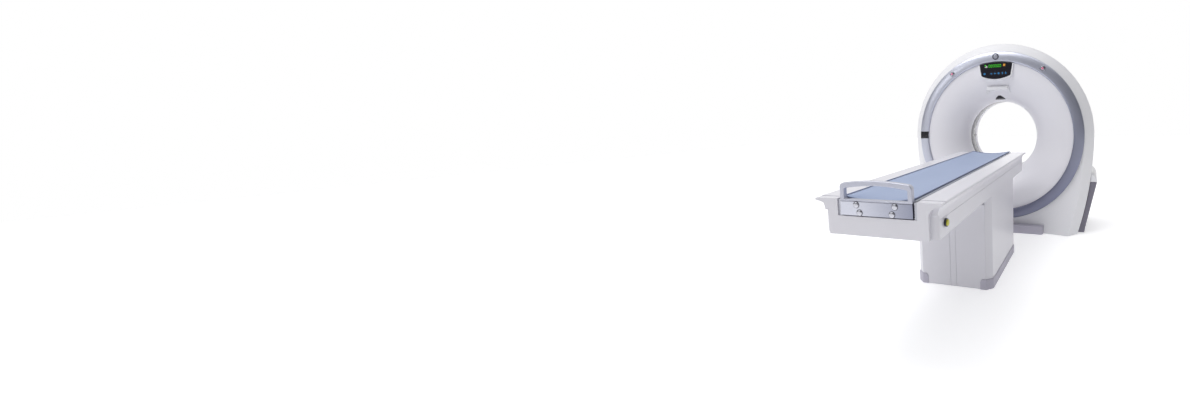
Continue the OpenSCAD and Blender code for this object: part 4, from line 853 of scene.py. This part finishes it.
def build_plate():
    """The end plate: brushed steel with rounded edges and four round caps in their seats."""
    middle, y = (PLATE_LOW + PLATE_TOP) / 2, TABLE_FOOT_Y
    plate = prism("plate_body", [box_outline(0, middle, 2 * PLATE_W, PLATE_TOP - PLATE_LOW, 0.003)],
                  y, y + PLATE_DEPTH, brushed_plate)
    settle(soften(plate, 1.6, 3, 50), "cradle", "brushed_plate", "end_plate")
    seat = [(0, 1.5), (15.5, 1.5), (15.5, -0.6), (13.5, -1), (0, -1)]
    cap = [(0, -0.8), (13.2, -0.8), (13.2, -3), (11.8, -4.3), (8.5, -5), (0, -5.3)]
    for number, (x, z) in enumerate(((-0.095, 0.792), (0.095, 0.792), (-0.080, 0.757), (0.080, 0.757))):
        settle(knob(f"cap_seat_{number}", (x, y, z), seat, seam_shadow, 40), "cradle", "black_rubber")
        settle(knob(f"cap_{number}", (x, y, z), cap, bright_metal, 40), "cradle", "bright_metal", "screw_caps")


# Mattress: foam in coated fabric, filled by pressure and laid in the cradle's hollow

def dish(x):
    """Height of the cradle's hollow at a distance from its middle."""
    return CRADLE_MID_H - math.sqrt((CRADLE_R - CRADLE_WALL) ** 2 - x * x)


def pad_top(x):
    """Height of the pad's upper face at a distance from its middle, as its CAD solid has it."""
    arc = (MAT_W ** 2 + MAT_DIP ** 2) / (2 * MAT_DIP)
    return MAT_EDGE_H - MAT_DIP + arc - math.sqrt(arc * arc - x * x)


def mattress_rows(across, along):
    """Points of the pad as (x, y, top, low), row by row from its foot end to its head end."""
    half, length, nose = MAT_W - 0.003, CRADLE_HEAD_Y - CRADLE_FOOT_Y, 0.014
    rows = []
    for t in spaced(0, 1, along):
        y = CRADLE_FOOT_Y + 0.003 + (length - 0.006) * t
        nip = math.sqrt(max(0.0, 1 - (1 - min(1.0, min(t, 1 - t) * length / nose)) ** 2))
        row = []
        for x in spaced(-half, half, across):
            under, over = dish(x) + 0.0012, pad_top(x) - 0.0015
            centre = (under + over) / 2 if over > under else under
            swell = nip * math.sqrt(max(0.0, 1 - (abs(x) / half) ** 14))
            up, down = max(over - centre, 0.002), max(centre - under, 0.001)
            row.append((x, y, centre + up * swell, centre - down * swell))
        rows.append(row)
    return rows


def pad_skin(across, along):
    """Points and faces of the closed pad: an upper and a lower grid, joined round their edge."""
    rows = mattress_rows(across, along)
    points = [(x, y, top) for row in rows for x, y, top, _ in row]
    first, wide = len(points), across + 1
    points += [(x, y, low) for row in rows for x, y, _, low in row]
    faces = []
    for j in range(along):
        for i in range(across):
            a, b, c, d = j * wide + i, j * wide + i + 1, (j + 1) * wide + i + 1, (j + 1) * wide + i
            faces += [(a, b, c, d), (first + d, first + c, first + b, first + a)]
    for j in range(along):
        for i in (0, across):
            a, d = j * wide + i, (j + 1) * wide + i
            faces.append((a, d, first + d, first + a) if i == 0 else (d, a, first + a, first + d))
    for i in range(across):
        for j in (0, along):
            a, b = j * wide + i, j * wide + i + 1
            faces.append((b, a, first + a, first + b) if j == 0 else (a, b, first + b, first + a))
    return points, faces


def build_mattress():
    """The pad: filled by a cloth simulation, then smoothed once."""
    pad = mesh_object("mattress_pad", *pad_skin(36, 190), mat_vinyl, 60)
    fill_pad(pad)
    smoothed = pad.modifiers.new("soft surface", "SUBSURF")
    smoothed.levels = smoothed.render_levels = 1
    baked(pad)
    pad.data.polygons.foreach_set("use_smooth", [True] * len(pad.data.polygons))
    settle(pad, "cradle", "mat_blue", "mattress")


def fill_pad(pad):
    """Blows the pad up a little as foam does its cover, and holds each point within its space."""
    rest = [v.co.copy() for v in pad.data.vertices]
    cloth = pad.modifiers.new("foam", "CLOTH")
    cloth.settings.use_pressure = True
    cloth.settings.uniform_pressure_force = 4
    cloth.settings.effector_weights.gravity = 0
    cloth.settings.quality = 4
    scene = bpy.context.scene
    for step in range(1, FILL_STEPS + 1):
        scene.frame_set(step)
    swollen = bpy.data.meshes.new_from_object(pad.evaluated_get(bpy.context.evaluated_depsgraph_get()))
    pad.modifiers.clear()
    for vertex, start, end in zip(pad.data.vertices, rest, swollen.vertices):
        move = end.co - start
        cap = PAD_RISE if move.z > 0 else PAD_SINK
        if move.length > cap:
            move *= cap / move.length
        vertex.co = start + move
    scene.frame_set(1)


def build_piping():
    """Welted edge of the pad's cover, a shade darker, along both sides and both ends."""
    half, low, high = MAT_W - 0.0025, CRADLE_FOOT_Y + 0.004, CRADLE_HEAD_Y - 0.004
    run = [(half, y) for y in spaced(low, high, 60)] + [(x, high) for x in spaced(half, -half, 24)[1:]]
    run += [(-half, y) for y in spaced(high, low, 60)[1:]] + [(x, low) for x in spaced(-half, half, 24)[1:-1]]
    path = [Vector((x, y, pad_top(x) - 0.001)) for x, y in run]
    settle(strip_along("mattress_welt", path, 5.0, mat_welt), "cradle", "mat_blue")


# Table: corner bumpers with their kick strips

def bumper_path(side):
    """Outer line of the bumper and kick strip in plan, with the length run so far."""
    corners = [(PED_W - 0.078, PED_FRONT_Y - 0.005), (PED_W - 0.038, PED_FRONT_Y - 0.005),
               (PED_W + 0.005, PED_FRONT_Y + 0.038), (PED_W + 0.005, PED_BACK_Y)]
    path, run = [], 0.0
    for (x0, y0), (x1, y1) in zip(corners, corners[1:]):
        length = math.hypot(x1 - x0, y1 - y0)
        count = max(2, min(24, round(length / 0.004)))
        path += [(x0 + (x1 - x0) * i / count, y0 + (y1 - y0) * i / count, run + length * i / count,
                  (y1 - y0) / length, (x0 - x1) / length) for i in range(count)]
        run += length
    path.append((*corners[-1], run, 1.0, 0.0))
    return [(side * x, y, s, side * nx, ny) for x, y, s, nx, ny in path]


def build_bumper(side):
    """Grey moulded guard round a front corner; its inner corner is rounded and it runs on as a kick strip."""
    rows = []
    for x, y, s, nx, ny in bumper_path(side):
        top = BUMPER_TOP if s < BUMPER_RUN else max(KICK_TOP, BUMPER_TOP - (s - BUMPER_RUN))
        if s < BUMPER_R:
            top -= BUMPER_R - math.sqrt(BUMPER_R ** 2 - (BUMPER_R - s) ** 2)
        wall = [(0.0, 0.004), (0.0, top - 0.004), (0.0008, top - 0.0015), (0.0025, top), (0.0048, top),
                (0.0048, 0.004)]
        rows.append([Vector((x - nx * inset, y - ny * inset, z)) for inset, z in wall + wall[:1]])
    points, faces = skin(rows)
    wide = len(rows[0]) - 1
    faces += [tuple(range(wide)), tuple((len(rows) - 1) * (wide + 1) + i for i in reversed(range(wide)))]
    name = "bumper_right" if side > 0 else "bumper_left"
    guard = mesh_object(name, points, faces, floor_grey, 40)
    settle(guard, "base", "floor_grey", "pedestal_bumpers")


# Every piece, in the order in which it is made

build_front_cover()
build_wall("top_wall", -TOP_SEAM, TOP_SEAM, 160, "top_cover")
build_wall("wall_left", -SIDE_SEAM, -SIDE_END, 60, "side_covers")
build_wall("wall_right", SIDE_SEAM, SIDE_END, 60, "side_covers")
build_rear_cover()
build_funnel()
build_ring()
build_side_plate()
build_panel()
build_display()
build_keys()
build_brow()
build_badge()
build_stops()
build_seams()
build_beam()
build_handle()
build_plate()
build_bumper(-1)
build_bumper(1)
build_mattress()
build_piping()


# Solids that are kept: each gets its finish and the rounding of its edges in mm

KEPT = {
    "base_frame": (painted_steel, 3), "stator_frame": (painted_steel, 2), "bearing_outer_race": (bearing_steel, 1),
    "bearing_inner_race": (bearing_steel, 1), "rotor_disc": (painted_steel, 2), "xray_tube": (tube_housing, 4),
    "beam_collimator": (unit_grey, 2), "detector_arc": (unit_grey, 3), "power_inverter": (unit_grey, 5),
    "high_voltage_tank": (tube_housing, 6), "counterweight": (painted_steel, 3), "data_unit": (circuit_green, 2),
    "slip_ring": (slip_brass, 0.5), "brush_block": (black_plastic, 2), "drive_motor": (unit_grey, 3),
    "motor_pulley": (bearing_steel, 1), "drive_belt": (black_rubber, 0.5), "rear_funnel": (funnel_white, 2),
    "scan_window": (window_smoke, 0.6), "rear_liner": (funnel_white, 0.6), "flank_covers": (flank_grey, 8),
    "flank_caps": (white_cover, 8), "floor_plinth": (floor_grey, 6), "cable_trough": (floor_grey, 4),
    "laser_windows": (black_plastic, 0.5), "table_base": (painted_steel, 2),
    "pedestal_end_panels": (table_white, 1.2), "pedestal_side_panels": (table_white, 4),
    "lift_columns_outer": (column_steel, 1), "lift_columns_inner": (column_steel, 1),
    "table_frame": (frame_aluminium, 0.5), "inner_sleeve": (funnel_white, 1), "table_end_covers": (table_white, 4),
    "cradle_drive": (unit_grey, 2), "drive_wheel": (black_rubber, 1), "side_release_collar": (black_plastic, 1.5),
    "side_release": (release_yellow, 2), "cradle": (cradle_grey, 1),
}


def dress(part, material, width):
    """Gives a carried-over solid its finish and its rounded edges."""
    for slot in part.material_slots:
        slot.link = "OBJECT"
        slot.material = material
    weld = part.modifiers.new("joined corners", "WELD")
    weld.merge_threshold = 0.05 * MM
    flat = part.modifiers.new("whole faces", "DECIMATE")
    flat.decimate_type, flat.angle_limit = "DISSOLVE", math.radians(1.0)
    soften(part, width)


for name, (material, width) in KEPT.items():
    dress(nodes[name], material, width)


# Stage, lights and camera

def area_light(name, place, target, size, watts):
    """A rectangular white softbox, turned to a point."""
    light = bpy.data.lights.new(name, "AREA")
    light.shape, light.size, light.size_y = "RECTANGLE", size[0], size[1]
    light.energy = watts
    made = bpy.data.objects.new(name, light)
    made.location = place
    made.rotation_euler = (Vector(target) - Vector(place)).to_track_quat("-Z", "Y").to_euler()
    bpy.context.scene.collection.objects.link(made)


floor_material = finish_of("pale studio floor", "#e2e2e4", "#dededf", 0.7, cloud=3000, grain=8, lift=0.01,
                           Emission_Color=linear("#ffffff"), Emission_Strength=0.47)
floor = mesh_object("studio_floor", [(-14, -14, 0), (14, -14, 0), (14, 14, 0), (-14, 14, 0)], [(0, 1, 2, 3)],
                    floor_material)

# The backdrop is white from every side. What lights the object is a sky that is bright behind it and dark in front
world = bpy.data.worlds.new("studio")
bpy.context.scene.world = world
world.use_nodes = True
sky = world.node_tree
sky.nodes.clear()
toward = add(sky, "ShaderNodeTexCoord")
behind = add(sky, "ShaderNodeVectorMath", {0: toward.outputs["Generated"], 1: (-0.15, 0.8, 0.25)},
             operation="DOT_PRODUCT")
level_of = add(sky, "ShaderNodeMapRange", {
    "Value": behind.outputs["Value"], "From Min": 0.0, "From Max": 0.5, "To Min": 0.1, "To Max": 0.78})
seen = add(sky, "ShaderNodeLightPath")
strength = add(sky, "ShaderNodeMath", {
    0: level_of.outputs["Result"], 1: seen.outputs["Is Camera Ray"]}, operation="MAXIMUM")
glow = add(sky, "ShaderNodeBackground", {"Color": linear("#ffffff"), "Strength": strength.outputs[0]})
add(sky, "ShaderNodeOutputWorld", {"Surface": glow.outputs[0]})

# A wide, soft key from above and in front, and three softboxes
sun = bpy.data.lights.new("diffused key", "SUN")
sun.energy, sun.angle = 1.35, math.radians(70)
key = bpy.data.objects.new("diffused key", sun)
key.rotation_euler = Vector((0.14, 0.34, -0.93)).to_track_quat("-Z", "Y").to_euler()
bpy.context.scene.collection.objects.link(key)
area_light("front left softbox", (-4.5, -7.5, 3.4), (0, -0.4, 1.1), (3.0, 2.4), 50)
area_light("gantry softbox", (-1.2, -2.4, 4.2), (0.1, -0.3, 1.0), (2.4, 1.6), 46)
area_light("bore glow", (0.4, 3.4, 1.6), (0, 0.2, 0.9), (2.5, 2.0), 10)
bpy.context.scene.view_settings.view_transform = "Standard"

# The camera that the photograph was fitted to: its frame, focal length and optical centre in the photograph's pixels
PHOTO_W, PHOTO_H, FOCAL = 1190, 417, 390
CENTRE_X, CENTRE_Y = 957.673, 164.902

photo = bpy.data.cameras.new("photo view")
photo.sensor_width, photo.sensor_fit = 36, "HORIZONTAL"
photo.lens = photo.sensor_width * FOCAL / PHOTO_W
photo.shift_x = (PHOTO_W / 2 - CENTRE_X) / PHOTO_W
photo.shift_y = (CENTRE_Y - PHOTO_H / 2) / PHOTO_W
photo.clip_start, photo.clip_end = 0.05, 60
camera = bpy.data.objects.new("photo view", photo)

# Its turn in radians and its place, found by the same fit
yaw, pitch, roll = -0.335, 0.13, 0.028
camera_place = (0.8854, -4.0973, 1.1771)
ahead = Vector((math.sin(yaw) * math.cos(pitch), math.cos(yaw) * math.cos(pitch), -math.sin(pitch)))
level = Vector((math.cos(yaw), -math.sin(yaw), 0))
down = ahead.cross(level)
right_axis = level * math.cos(roll) + down * math.sin(roll)
down_axis = down * math.cos(roll) - level * math.sin(roll)
camera.matrix_world = Matrix.Translation(camera_place) @ Matrix(
    (right_axis, -down_axis, -ahead)).transposed().to_4x4()
bpy.context.scene.collection.objects.link(camera)
bpy.context.scene.camera = camera
